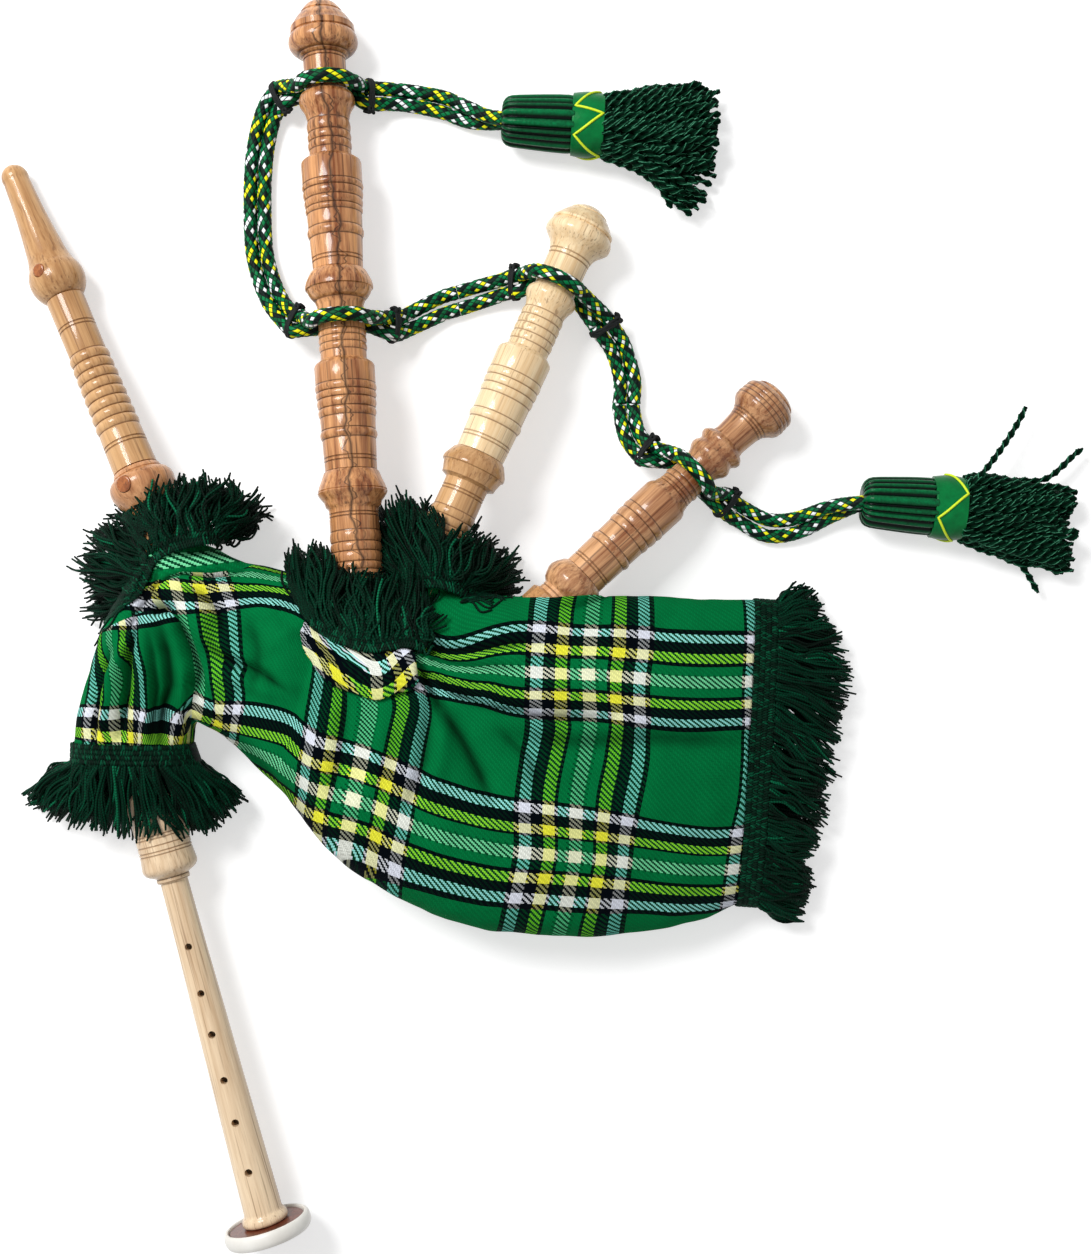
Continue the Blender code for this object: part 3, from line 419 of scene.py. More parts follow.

# %% [markdown]
# ## The cord
# Two strands of plaited cord run from tassel to tassel, over and under the pipes' necks.
# Each free stretch is a tube along its own route.

# %% Routes of the cord
STRAND = 6.5
ROUTES = {
    "cord_1_bass_top": (
        (41.3, 246.8, 17.5), (32.9, 249.0, 14.0), (23.2, 254.3, 9.6), (10.1, 261.1, 4.8),
        (-9.5, 264.3, 5.0), (-23.6, 264.1, 9.2), (-28.4, 264.1, 12.0), (-32.3, 263.4, 23.3),
        (-37.6, 263.6, 30.5), (-46.1, 263.2, 33.2), (-54.5, 262.3, 30.5), (-59.7, 261.4, 23.3),
        (-69.7, 264.1, 11.2), (-73.5, 261.9, 8.0), (-79.6, 253.0, 5.0), (-84.4, 232.6, 3.8),
        (-85.5, 207.6, 3.8), (-84.1, 181.8, 3.9), (-76.6, 159.5, 7.5), (-64.8, 144.4, 15.4),
        (-62.9, 143.6, 16.9),
    ),
    "cord_1_bass_middle": (
        (-62.7, 143.6, 17.1), (-60.8, 142.8, 18.6), (-48.2, 144.2, 16.4), (-41.4, 144.4, 12.5),
        (-33.5, 145.0, 12.5), (-26.7, 145.7, 16.4), (-15.7, 141.5, 18.0), (-12.1, 141.3, 14.0),
        (-4.6, 145.8, 7.6), (9.8, 153.1, 3.9), (18.3, 155.9, 3.9),
    ),
    "cord_1_tenor_left": (
        (18.5, 155.9, 3.8), (27.0, 158.7, 3.8), (39.0, 162.3, 6.2), (44.5, 163.4, 8.7),
        (48.7, 163.4, 12.3), (56.9, 168.0, 9.4), (62.8, 165.0, 5.6), (69.7, 161.9, 5.6),
        (75.9, 159.6, 9.4), (85.7, 145.9, 12.7),
    ),
    "cord_1_drone_run": (
        (85.8, 145.7, 12.6), (88.5, 141.9, 10.3), (94.1, 134.9, 5.2), (98.3, 121.4, 3.8),
        (98.0, 109.0, 4.1),
    ),
    "cord_1_tenor_right": (
        (98.0, 108.7, 4.1), (97.9, 105.7, 4.2), (100.8, 91.7, 8.0), (106.9, 82.7, 10.3),
        (110.9, 79.9, 12.7), (125.7, 78.6, 10.4), (129.6, 74.0, 7.0), (134.3, 68.9, 7.0),
        (138.7, 64.7, 10.4), (145.9, 57.4, 12.6), (149.3, 54.6, 9.4), (156.6, 50.5, 5.6),
        (171.2, 43.3, 3.8), (186.7, 44.9, 4.2), (203.0, 52.8, 6.2), (217.9, 59.1, 10.5),
    ),
    "cord_2_bass_top": (
        (41.3, 246.8, 10.5), (32.9, 247.4, 7.2), (22.4, 249.1, 4.8), (8.5, 254.1, 4.0),
        (-9.5, 257.3, 5.0), (-23.6, 256.3, 9.2), (-28.4, 256.3, 12.0), (-35.8, 262.1, 8.6),
        (-42.2, 261.4, 4.9), (-49.7, 260.9, 4.9), (-56.2, 260.6, 8.6), (-65.7, 257.3, 11.2),
        (-69.5, 255.1, 8.0), (-73.6, 249.6, 5.0), (-77.4, 232.2, 3.8), (-78.5, 207.6, 3.8),
        (-77.1, 182.6, 3.9), (-70.6, 162.9, 7.5), (-62.0, 151.4, 15.4), (-60.1, 150.6, 16.9),
    ),
    "cord_2_bass_middle": (
        (-59.9, 150.6, 17.1), (-58.0, 149.8, 18.6), (-52.0, 145.0, 31.9), (-46.5, 146.0, 39.5),
        (-37.6, 146.8, 42.5), (-28.6, 147.3, 39.5), (-23.0, 147.1, 31.9), (-15.1, 149.3, 18.0),
        (-11.5, 149.1, 14.0), (-5.8, 153.4, 7.6), (8.6, 161.5, 3.9), (17.3, 164.2, 3.9),
    ),
    "cord_2_tenor_left": (
        (17.5, 164.2, 3.8), (26.2, 166.9, 3.8), (38.6, 169.7, 6.2), (44.5, 171.4, 8.7),
        (48.7, 171.4, 12.3), (54.3, 170.8, 24.2), (59.4, 169.2, 31.5), (67.4, 166.0, 34.3),
        (75.1, 162.2, 31.5), (79.7, 159.4, 24.2), (91.9, 150.1, 12.7),
    ),
    "cord_2_drone_run": (
        (92.0, 149.9, 12.6), (94.7, 146.1, 10.3), (100.5, 137.7, 5.2), (105.3, 121.4, 3.8),
        (105.0, 109.0, 4.1),
    ),
    "cord_2_tenor_right": (
        (105.0, 108.7, 4.1), (104.9, 106.3, 4.2), (107.0, 95.3, 8.0), (111.1, 88.9, 10.3),
        (115.1, 86.1, 12.7), (124.5, 81.9, 24.0), (128.3, 78.8, 30.7), (133.8, 73.1, 33.3),
        (139.0, 67.2, 30.7), (141.9, 63.2, 24.0), (150.7, 63.2, 12.6), (154.1, 60.4, 9.4),
        (160.2, 56.7, 5.6), (172.0, 51.3, 3.8), (185.1, 51.7, 5.0), (201.8, 57.2, 12.2),
        (217.9, 59.1, 17.5),
    ),
}


# %% Cord strands
PLAITS = 8
LAY = 32.0


def braid(name, line, radius, material, sides=32):
    """A plaited tube: strands run round it both ways and each crossing stands proud."""
    frames = line_frames(line)
    spots, side, up = (np.array([frame[k] for frame in frames]) for k in range(3))
    steps = np.linalg.norm(np.diff(spots, axis=0), axis=1)
    travelled = np.concatenate(([0.0], np.cumsum(steps)))[:, None]
    turn = np.arange(sides + 1)[None, :] / sides
    a = PLAITS * (travelled / LAY + turn)
    b = PLAITS * (travelled / LAY - turn)
    out = radius - 0.35 + 0.5 * np.abs(np.sin(np.pi * a) * np.sin(np.pi * b)) ** 0.6
    angle = 2 * np.pi * turn
    points = (spots[:, None] + side[:, None] * (out * np.cos(angle))[..., None]
              + up[:, None] * (out * np.sin(angle))[..., None]).reshape(-1, 3)
    faces = grid_faces(len(frames), sides + 1, False)
    faces += [tuple(reversed(range(sides + 1))),
              tuple(range(len(points) - sides - 1, len(points)))]
    obj = add_mesh(name, points.tolist(), faces, material)
    places = np.zeros((len(frames), sides + 1, 3))
    places[..., 0] = travelled
    places[..., 1] = turn
    set_attribute(obj, "along_cord", places.reshape(-1, 3).tolist())
    return obj


def plaited_finish():
    """Green and black yarn with white and yellow yarns among them."""
    material, r, shader = new_material("plaited_cord")
    place = r.add("ShaderNodeAttribute", None, "Vector", attribute_name="along_cord")
    split = r.add("ShaderNodeSeparateXYZ", {0: place}, None)
    along = r.math("MULTIPLY", split.outputs[0], PLAITS / LAY)
    turn = r.math("MULTIPLY", split.outputs[1], PLAITS)
    cells, colours, edges = [], [], []
    white, yellow, black = (244, 250, 252), (240, 240, 30), (0, 14, 12)
    green, deep = (0, 116, 64), (0, 80, 44)
    rows = ((white, black, green, deep, yellow, black, deep, green),
            (black, green, white, deep, black, green, yellow, deep))
    for operation, row in zip(("ADD", "SUBTRACT"), rows):
        where = r.math(operation, along, turn)
        cell = r.math("FLOOR", where)
        number = r.math("DIVIDE", r.math("FLOORED_MODULO", r.math("ADD", cell, 0.5), 8.0), 8.0)
        colours.append(r.ramp(number, [(i / 8, paint(*c)) for i, c in enumerate(row)],
                              "CONSTANT"))
        edges.append(r.math("PINGPONG", where, 0.5))
        cells.append(cell)
    parity = r.math("FLOORED_MODULO", r.math("ADD", cells[0], cells[1]), 2.0)
    colour = r.mix(r.math("GREATER_THAN", parity, 0.5), colours[0], colours[1])
    # painted shade: each plait's edges run dark where it meets its neighbours
    inner = r.math("SUBTRACT", r.math("MINIMUM", edges[0], edges[1]), 0.05)
    inner = r.math("MULTIPLY", inner, 9.0, True)
    colour = r.mix(inner, paint(0, 22, 14), colour)
    r.join(colour, shader.inputs["Base Color"])
    r.join(r.add("ShaderNodeBump", {"Height": inner, "Strength": 0.4, "Distance": 0.0003},
                 "Normal"), shader.inputs["Normal"])
    shader.inputs["Roughness"].default_value = 0.5
    shader.inputs["Specular IOR Level"].default_value = 0.1
    return material


FINISHES["plaited_cord"] = plaited_finish()


def build_cords():
    made = {}
    for name, route in ROUTES.items():
        line = curve_through(route, 0.7)
        cord = braid(name + "_strand", line, 0.53 * STRAND, FINISHES["plaited_cord"])
        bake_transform(cord)
        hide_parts(name)
        made[name] = (cord, line)
        print(name, "is", round(line_length(line), 1), "mm long")
    return made


CORDS = build_cords()


# %% [markdown]
# ## Turned pipes
# Each joint of a pipe is turned on a lathe. Its outline is a line of (distance from the
# tip, radius) pairs, and three small tools work on it as a turner does: bands are the combed
# rings side by side, beads stand proud, and grooves are fine lines cut with the point of the
# tool. The outline then turns round the pipe's own axis, with the tip at zero.

# %% Axes of the pipes
PIPE_AXES = {
    "bass": ((-49.1, 304.3, 15.8), 4.18, 4.1),
    "tenor_left": ((83.8, 202.9, 15.7), -23.97, 5.5),
    "tenor_right": ((176.2, 112.5, 14.2), -47.12, 5.5),
    "blowpipe": ((-204.0, 226.3, 6.9), 23.69, 6.5),
    "chanter": ((-126.3, -101.1, 21.6), 15.11, 0.0),
}


def axis_matrix(pipe):
    """Place of a pipe: local X is level, Y points up and Z runs down the bore."""
    tip, lean, rise = PIPE_AXES[pipe]
    lean, rise = math.radians(lean), math.radians(rise)
    along = Vector((math.sin(lean) * math.cos(rise), -math.cos(lean) * math.cos(rise),
                    math.sin(rise)))
    level = Vector((0, 0, 1)).cross(along).normalized()
    turn = Matrix((level, along.cross(level), along)).transposed()
    return Matrix.Translation(Vector(tip) * MM) @ turn.to_4x4()


# %% Lathe
LATHE_SIDES = 64


def between(base, at):
    for (s0, r0), (s1, r1) in zip(base, base[1:]):
        if s0 <= at <= s1:
            return r0 + (r1 - r0) * (at - s0) / max(s1 - s0, 1e-6)
    return base[-1][1]


def lathe_outline(base, bands=(), beads=(), grooves=()):
    stations = [at for at, _ in base]
    shaped = []
    for lines, height in bands:
        for a, b in zip(lines, lines[1:]):
            shaped.append((a, b, height))
    for at, width, height in beads:
        shaped.append((at - width / 2, at + width / 2, height))
    for a, b, _ in shaped:
        stations += [a + (b - a) * i / 8 for i in range(9)] + [a - 0.5, b + 0.5]
    for at in grooves:
        stations += [at - 0.45, at - 0.15, at + 0.15, at + 0.45]
    valleys = [a for a, _, _ in shaped] + [b for _, b, _ in shaped] + list(grooves)
    points = []
    for at in sorted(at for at in stations if base[0][0] <= at <= base[-1][0]):
        if points and at - points[-1][0] < 0.03:
            continue
        radius = between(base, at)
        near = min([abs(at - line) for line in valleys], default=9.0)
        for a, b, height in shaped:
            if a <= at <= b:
                radius += height * max(math.sin(math.pi * (at - a) / (b - a)), 0) ** 0.8
                if height > 0.5:
                    radius -= 0.15
        for line in grooves:
            if abs(at - line) < 0.2:
                radius -= 0.42
        # the third value is painted shade, full on each valley line and gone 0.45 mm from it
        points.append((at, radius, max(0.0, 1.0 - near / 0.45)))
    return points


def lathe(name, pipe, body, finish, outer, inner, replaced=None):
    outline = [(*row, 0.0)[:3] for row in list(outer) + list(inner)]
    points, dark = [], []
    for at, radius, groove in outline:
        for k in range(LATHE_SIDES):
            angle = 2 * math.pi * k / LATHE_SIDES
            points.append((radius * math.cos(angle), radius * math.sin(angle), at))
            dark.append(groove)
    faces = grid_faces(len(outline), LATHE_SIDES)
    last = len(points) - LATHE_SIDES
    for k in range(LATHE_SIDES):
        j = (k + 1) % LATHE_SIDES
        faces.append((last + k, last + j, j, k))
    obj = add_mesh(name, points, faces, FINISHES[finish], axis_matrix(pipe))
    obj.data.set_sharp_from_angle(angle=math.radians(40))
    # painted shade for the turned grooves, read by the wood finish
    set_attribute(obj, "groove", dark, "FLOAT")
    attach(obj, body)
    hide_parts(replaced or name.replace("_turned", ""))
    return obj


def pin_inside(top, foot):
    """The tuning pin below a mount, from the bore's end round to the mount."""
    return [(top, 3.0), (top, 4.8), (top + 0.8, 5.6), (top + 6.5, 5.6), (top + 7.0, 5.0),
            (top + 21.5, 5.0), (top + 22.0, 5.6), (foot, 5.6)]


def tenon_inside(shoulder, seat):
    return [(shoulder, 8.0), (seat - 1.0, 8.0), (seat, 7.0), (seat, 3.3), (seat - 9.0, 3.3),
            (seat - 9.0, 3.0)]


# %% Bass drone
def bass_drone():
    base = [(0, 3.2), (0.3, 5.0), (1.6, 7.2), (3.4, 8.9), (5.4, 10.2), (5.7, 9.9), (8.2, 12.4),
            (10.6, 14.0), (12.6, 15.0), (13.0, 15.6), (15.8, 15.7), (16.3, 15.0), (17.0, 15.9),
            (18.6, 16.7), (20.8, 17.0), (22.8, 16.6), (24.6, 15.4), (26.0, 13.6), (27.2, 11.7),
            (28.2, 10.7), (29.4, 10.4), (45.0, 10.3), (45.6, 10.9), (47.5, 12.9), (49.2, 13.5),
            (51.0, 13.6), (52.6, 13.2), (54.4, 12.0), (56.4, 11.0), (58.6, 10.5), (59.6, 10.2),
            (78.0, 10.25), (78.6, 11.2), (79.6, 13.0), (80.6, 14.3), (81.6, 14.7), (91.8, 14.6),
            (106.9, 13.4), (112.6, 13.2), (134.1, 12.1)]
    top = lathe_outline(base, bands=(((60.4, 66.4, 70.7, 75.0), 0.6),
                                     ((92.0, 95.2, 99.8, 103.9, 106.9), 0.6)),
                        beads=((116.4, 5.0, 0.9),), grooves=(26.6, 28.2, 29.8, 128.6, 130.4))
    lathe("bass_top_joint_turned", "bass", "bass_top", "bass_wood", top,
          [(134.1, 6.6), (60.0, 6.6), (60.0, 3.0), (0.0, 3.0)])
    base = [(134.4, 12.6), (135.2, 13.5), (137.6, 14.8), (140.2, 16.0), (142.5, 16.5),
            (143.6, 16.4), (144.0, 15.7), (146.0, 15.0), (148.0, 13.6), (149.3, 12.3),
            (150.6, 11.8), (152.1, 11.2), (178.4, 11.1), (179.2, 12.0), (180.6, 13.9),
            (181.8, 14.6), (190.8, 14.5), (206.9, 13.4), (213.0, 13.1), (232.6, 12.5)]
    middle = lathe_outline(base, bands=(((164.6, 167.6, 171.0, 174.6), 0.5),
                                        ((190.8, 194.6, 198.1, 202.7, 206.9), 0.6)),
                           beads=((215.4, 4.6, 0.9),), grooves=(149.5, 226.6, 228.4))
    lathe("bass_middle_joint_turned", "bass", "bass_middle", "bass_wood", middle,
          [(232.6, 6.6), (160.0, 6.6), (160.0, 3.0)] + pin_inside(74.0, 134.4))
    base = [(232.9, 12.7), (233.6, 13.4), (237.0, 14.6), (240.0, 15.9), (242.2, 16.6),
            (242.6, 16.3), (243.2, 16.8), (244.6, 16.2), (246.4, 14.9), (247.6, 13.9),
            (249.0, 13.5), (250.0, 13.2), (251.0, 12.1), (252.0, 11.9), (283.0, 11.9)]
    lower = lathe_outline(base, bands=(((262.1, 267.7, 272.3, 277.3, 281.2), 0.6),),
                          grooves=(253.7, 255.3))
    lathe("bass_lower_joint_turned", "bass", "bag_and_stocks", "bass_wood", lower,
          tenon_inside(283.0, 305.0) + pin_inside(174.0, 232.9))


bass_drone()


# %% Left tenor drone
def left_tenor_drone():
    base = [(0, 3.2), (0.3, 5.2), (1.4, 7.2), (3.0, 9.4), (3.3, 9.2), (5.0, 11.2), (7.5, 13.4),
            (9.6, 14.9), (10.3, 15.6), (11.4, 15.6), (11.8, 15.0), (13.0, 16.0), (15.0, 16.8),
            (16.5, 16.9), (17.8, 16.6), (19.6, 15.0), (21.4, 13.2), (23.3, 11.9), (26.0, 10.9),
            (28.7, 10.5), (45.5, 10.4), (46.2, 11.2), (47.8, 12.5), (49.6, 12.8), (51.2, 12.5),
            (53.4, 11.3), (55.4, 10.5), (57.2, 10.15), (78.0, 10.4), (79.0, 11.6), (80.6, 13.3),
            (81.8, 13.8), (92.1, 13.6), (104.8, 12.95), (113.0, 12.8), (134.1, 12.0)]
    top = lathe_outline(base, bands=(((58.0, 62.2, 66.6, 70.9, 75.2), 0.5),
                                     ((92.1, 96.2, 100.4, 104.8), 0.6)),
                        beads=((116.1, 4.5, 0.9),), grooves=(26.6, 28.7, 126.2, 127.9))
    lathe("tenor_left_top_joint_turned", "tenor_left", "tenor_left_top", "tenor_wood", top,
          [(134.1, 6.6), (60.0, 6.6), (60.0, 3.0), (0.0, 3.0)])
    base = [(134.4, 12.4), (135.2, 13.3), (137.6, 14.6), (140.0, 15.8), (141.5, 16.1),
            (142.4, 15.9), (142.8, 15.2), (144.6, 14.6), (146.8, 13.9), (148.4, 13.6),
            (149.0, 12.2), (149.8, 10.9), (151.0, 10.7), (175.7, 10.8)]
    lower = lathe_outline(base, bands=(((164.1, 168.4, 172.6, 175.5), 0.5),),
                          grooves=(154.2, 155.8))
    lathe("tenor_left_lower_joint_turned", "tenor_left", "bag_and_stocks", "blowpipe_wood",
          lower, tenon_inside(175.7, 196.0) + pin_inside(74.0, 134.4))


left_tenor_drone()


# %% Right tenor drone
def right_tenor_drone():
    base = [(0, 3.2), (0.4, 6.0), (1.0, 8.2), (2.0, 10.2), (2.9, 11.1), (3.2, 10.8), (4.6, 12.6),
            (6.0, 14.0), (6.5, 14.3), (14.0, 14.8), (15.4, 14.8), (17.0, 13.9), (19.0, 11.9),
            (21.6, 10.2), (25.0, 9.4), (30.0, 9.0), (34.2, 8.9), (36.4, 9.4), (38.0, 11.6),
            (39.6, 12.5), (41.0, 12.2), (42.4, 11.0), (43.4, 10.5), (44.8, 11.0), (46.2, 11.8),
            (47.7, 12.0), (49.4, 11.4), (51.4, 10.0), (53.4, 9.3), (64.0, 9.2), (72.0, 9.7),
            (75.3, 10.5), (76.6, 11.6), (78.6, 12.3), (90.8, 12.2), (104.4, 11.5), (132.6, 11.0)]
    top = lathe_outline(base, bands=(((6.5, 9.0, 11.5, 14.0), 0.35),
                                     ((90.8, 94.8, 100.1, 104.4), 0.55)),
                        beads=((66.7, 3.2, 0.8), (114.5, 4.2, 0.9)),
                        grooves=(20.6, 22.2, 23.8, 70.6, 72.4, 126.4, 128.0))
    lathe("tenor_right_top_joint_turned", "tenor_right", "tenor_right_top", "dark_tenor_wood",
          top, [(132.6, 6.6), (68.0, 6.6), (68.0, 3.0), (0.0, 3.0)])
    base = [(132.9, 11.6), (134.0, 12.6), (137.0, 14.2), (139.6, 15.0), (141.6, 14.8),
            (144.0, 13.8), (146.2, 12.6), (147.6, 10.6), (151.7, 10.6)]
    lathe("tenor_right_lower_joint_turned", "tenor_right", "bag_and_stocks",
          "dark_tenor_wood", lathe_outline(base, grooves=(149.4,)),
          tenon_inside(151.7, 172.0) + pin_inside(80.0, 132.9))


right_tenor_drone()

# %% [markdown]
# ## Blowpipe
# The mouthpiece ends in a ball, the tube carries eight full beads, and the bulb sits on the
# tube's foot. Two dowels pin ball and bulb to the tube, so their holes are real: a cutter is
# taken out of the turned piece with a Boolean, and the dowel stands in the hole.

# %% Blowpipe pieces
def take_out(obj, cutter):
    """Cuts the cutter's shape out of the piece for good, then removes the cutter."""
    modifier = obj.modifiers.new("cut", "BOOLEAN")
    modifier.object = cutter
    modifier.solver = "EXACT"
    bpy.context.view_layer.update()
    graph = bpy.context.evaluated_depsgraph_get()
    mesh = bpy.data.meshes.new_from_object(obj.evaluated_get(graph))
    obj.modifiers.clear()
    obj.data = mesh
    obj.data.set_sharp_from_angle(angle=math.radians(40))
    bpy.data.objects.remove(cutter)


def rod(name, place, rows, material, sides=40):
    """A round rod through (height, radius) rows along the local Z of the given place."""
    points = []
    for at, radius in rows:
        for k in range(sides):
            angle = 2 * math.pi * k / sides
            points.append((radius * math.cos(angle), radius * math.sin(angle), at))
    faces = grid_faces(len(rows), sides)
    faces += [tuple(reversed(range(sides))),
              tuple(range(len(points) - sides, len(points)))]
    return add_mesh(name, points, faces, material, place)


def outward(pipe, at, turn_degrees):
    """Frame whose Z runs out from the pipe's axis at a distance from the tip."""
    turn = Matrix.Rotation(math.radians(turn_degrees), 4, "Z")
    return (axis_matrix(pipe) @ Matrix.Translation((0, 0, at * MM)) @ turn
            @ Matrix.Rotation(-math.pi / 2, 4, "X"))


def ball(centre, radius, first, last, count):
    return [(first + (last - first) * i / count,
             math.sqrt(max(radius ** 2 - (first + (last - first) * i / count - centre) ** 2, 0)))
            for i in range(count + 1)]


def blowpipe():
    base = (ball(6.9, 6.7, 0.9, 8.9, 12) + [(10.6, 6.6), (20.0, 7.0), (28.8, 7.6), (40.0, 8.7),
            (50.1, 9.9), (52.6, 10.4), (54.2, 10.9)] + ball(63.8, 13.66, 56.2, 73.4, 16))
    mouthpiece = lathe("blowpipe_mouthpiece_turned", "blowpipe", "blowpipe", "blowpipe_wood",
                       base, [(74.0, 9.0), (74.0, 7.0), (54.0, 7.0), (54.0, 2.4), (0.9, 2.4)])
    take_out(mouthpiece, rod("cutter", outward("blowpipe", 60.5, 20),
                             [(8.0, 3.4), (16.0, 3.4)], FINISHES["peg_wood"]))
    lines = [104.5 + 5.19 * i for i in range(9)]
    base = [(74.3, 9.3), (104.5, 9.2), (146.0, 10.1), (147.0, 10.4), (166.7, 10.9)]
    lathe("blowpipe_tube_turned", "blowpipe", "blowpipe", "blowpipe_wood",
          lathe_outline(base, bands=((lines, 0.95),), grooves=(89.6, 91.4, 153.2, 155.0)),
          [(166.7, 8.0), (187.2, 8.0), (187.2, 7.8), (214.0, 7.8), (215.0, 7.0), (215.0, 2.4),
           (54.3, 2.4), (54.3, 6.1), (55.0, 6.7), (74.3, 6.7)])
    base = [(167.2, 10.9), (167.6, 11.5), (168.6, 11.8), (169.4, 12.2), (169.8, 11.9),
            (171.4, 14.4), (173.4, 15.7), (175.6, 16.1), (178.4, 15.9), (181.4, 14.9),
            (184.2, 13.2), (186.7, 11.6)]
    bulb = lathe("blowpipe_bulb_turned", "blowpipe", "blowpipe", "mount_wood", base,
                 [(187.0, 8.3), (167.2, 8.3)])
    take_out(bulb, rod("cutter", outward("blowpipe", 175.6, 20),
                       [(8.6, 4.2), (18.0, 4.2)], FINISHES["peg_wood"]))
    for name, at, foot, top, radius in (("blowpipe_mouthpiece_peg", 60.5, 7.2, 13.35, 3.2),
                                        ("blowpipe_bulb_peg", 175.6, 8.6, 16.15, 4.0)):
        peg = rod(name + "_dowel", outward("blowpipe", at, 20),
                  [(foot, radius), (top - 0.4, radius), (top - 0.1, radius - 0.25),
                   (top, radius - 0.9), (top + 0.05, 0.4)], FINISHES["peg_wood"])
        peg.data.set_sharp_from_angle(angle=math.radians(50))
        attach(peg, "blowpipe")
        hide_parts(name)


blowpipe()

# %% [markdown]
# ## Chanter
# The chanter is a slender cone with six finger holes in front and one for the thumb behind.
# The holes are cut like the dowel holes. Its sole is a dark disc let into a pale rim.

# %% Chanter pieces
HOLES = ((57.6, 1.75, 0), (80.9, 1.75, 0), (101.4, 1.8, 0), (124.2, 1.8, 0), (145.3, 1.85, 0),
         (170.1, 1.9, 0), (47.0, 1.9, 180))


def chanter():
    base = [(22.9, 7.9), (25.0, 7.9), (25.3, 7.2), (25.6, 6.7), (57.6, 7.07), (80.9, 7.5),
            (124.2, 8.17), (170.1, 9.02), (191.0, 9.4), (192.0, 9.5), (192.8, 10.1),
            (193.8, 10.8), (195.0, 11.2), (196.1, 11.2), (197.0, 10.7), (197.3, 10.2)]
    tube = lathe("chanter_turned", "chanter", "chanter", "chanter_wood",
                 lathe_outline(base, beads=((23.9, 1.8, 0.3),)),
                 [(197.3, 6.0), (203.6, 6.0), (203.6, 4.4), (-5.0, 2.2), (-5.0, 5.8),
                  (-4.2, 6.4), (22.9, 6.4)])
    for at, radius, turn in HOLES:
        cutter = rod("cutter", outward("chanter", at, turn), [(0.5, radius), (14.0, radius)],
                     FINISHES["peg_wood"], 24)
        take_out(tube, cutter)
    base = [(-2.0, 12.9), (12.0, 12.9), (15.4, 13.3), (17.6, 13.5), (18.8, 13.2), (20.2, 12.3),
            (21.2, 10.9), (21.9, 9.4), (22.3, 8.6), (22.6, 8.3)]
    lathe("chanter_stock_turned", "chanter", "bag_and_stocks", "chanter_wood",
          [(-70.0, 12.0), (-69.0, 13.0)]
          + lathe_outline(base, grooves=(1.0, 2.6, 6.1, 9.0, 10.6)),
          [(22.6, 6.8), (-70.0, 6.8)])
    lathe("chanter_sole_turned", "chanter", "chanter", "sole_wood",
          [(197.8, 6.3), (197.7, 12.0), (197.9, 18.0), (198.4, 18.3)], [(203.4, 18.3), (203.4, 6.3)])
    lathe("chanter_sole_rim_turned", "chanter", "chanter", "sole_rim_plastic",
          [(197.8, 18.7), (197.1, 19.1), (196.9, 19.8), (197.3, 20.5), (198.4, 21.1),
           (200.0, 21.4), (202.0, 21.3), (203.6, 20.7), (204.5, 19.8)], [(204.4, 18.7)])


chanter()

# %% [markdown]
# ## Shape of the cover
# A bag cover is sewn from one tartan cloth and lies loosely over the bag, so it follows the
# bag's sections and then folds where there is too much cloth. The sections come from the
# solid: two corners on the table and a height. They are blended into many fine rows, and the
# folds are pushed in and out along lines that were measured in the photograph's frame.

# %% Sections of the cover
COVER_ROWS = (
    ((155.0, -137.7), (164.0, 10.8), 34), ((132.0, -145.7), (137.0, 11.8), 44),
    ((107.0, -149.7), (107.0, 12.3), 52), ((77.0, -151.2), (74.0, 12.8), 58),
    ((42.0, -148.7), (40.0, 14.0), 62), ((10.0, -140.7), (12.0, 18.3), 64),
    ((-16.0, -128.7), (-13.0, 19.3), 64), ((-38.0, -113.7), (-38.0, 15.3), 63),
    ((-58.0, -91.7), (-62.0, 24.5), 60), ((-78.0, -71.7), (-85.0, 29.3), 56),
    ((-93.0, -56.7), (-108.5, 38.3), 52), ((-103.0, -50.7), (-132.0, 27.3), 50),
    ((-108.0, -48.7), (-150.0, 3.3), 48), ((-110.0, -50.7), (-160.0, -21.7), 46),
    ((-110.5, -54.7), (-166.0, -42.7), 44), ((-111.0, -59.7), (-168.5, -58.7), 42),
)
AROUND = 240
CLOTH = 1.2


def fine_rows(rows, step=1.6):
    keys = np.array([(*low, *high, tall) for low, high, tall in rows])
    ends = np.vstack((2 * keys[0] - keys[1], keys, 2 * keys[-1] - keys[-2]))
    fine = []
    for a, b, c, d in zip(ends, ends[1:], ends[2:], ends[3:]):
        reach = max(np.hypot(*(c - b)[:2]), np.hypot(*(c - b)[2:4]))
        count = max(2, round(float(reach) / step))
        for i in range(count):
            t = i / count
            fine.append(0.5 * (2 * b + (c - a) * t + (2 * a - 5 * b + 4 * c - d) * t * t
                               + (3 * b - a - 3 * c + d) * t ** 3))
    fine.append(keys[-1])
    return np.array(fine)


def section_ring(row, grow=0.0, base=0.0, count=AROUND):
    """One section: full above, pressed flat where it lies on the table."""
    low, high, tall = row[:2], row[2:4], row[4]
    across = (high - low) / np.linalg.norm(high - low)
    half = np.linalg.norm(high - low) / 2 + grow
    angle = 2 * np.pi * np.arange(count) / count
    side = np.sign(np.cos(angle)) * np.abs(np.cos(angle)) ** 0.85
    up = np.abs(np.sin(angle)) ** 0.85
    z = np.where(np.sin(angle) >= 0, 0.45 * tall + (0.55 * tall + grow) * up,
                 0.45 * tall - (0.62 * tall + grow) * up)
    flat = (low + high) / 2 + across * (half * side)[:, None]
    return np.column_stack((flat, np.maximum(z, base)))


# %% Where a pixel of the photograph lies
def on_photo(points):
    """Pixel of the 1091 by 1254 frame at which each point is seen."""
    scale = 0.5 * (870.0 - points[:, 2]) / 870.0
    return np.column_stack((545.5 + (points[:, 0] - 61.25) / scale,
                            627.0 - (points[:, 1] + 2.1) / scale))


def seen_at(px, py, z):
    scale = 0.5 * (870.0 - z) / 870.0
    return (61.25 + (px - 545.5) * scale, -2.1 - (py - 627.0) * scale, z)


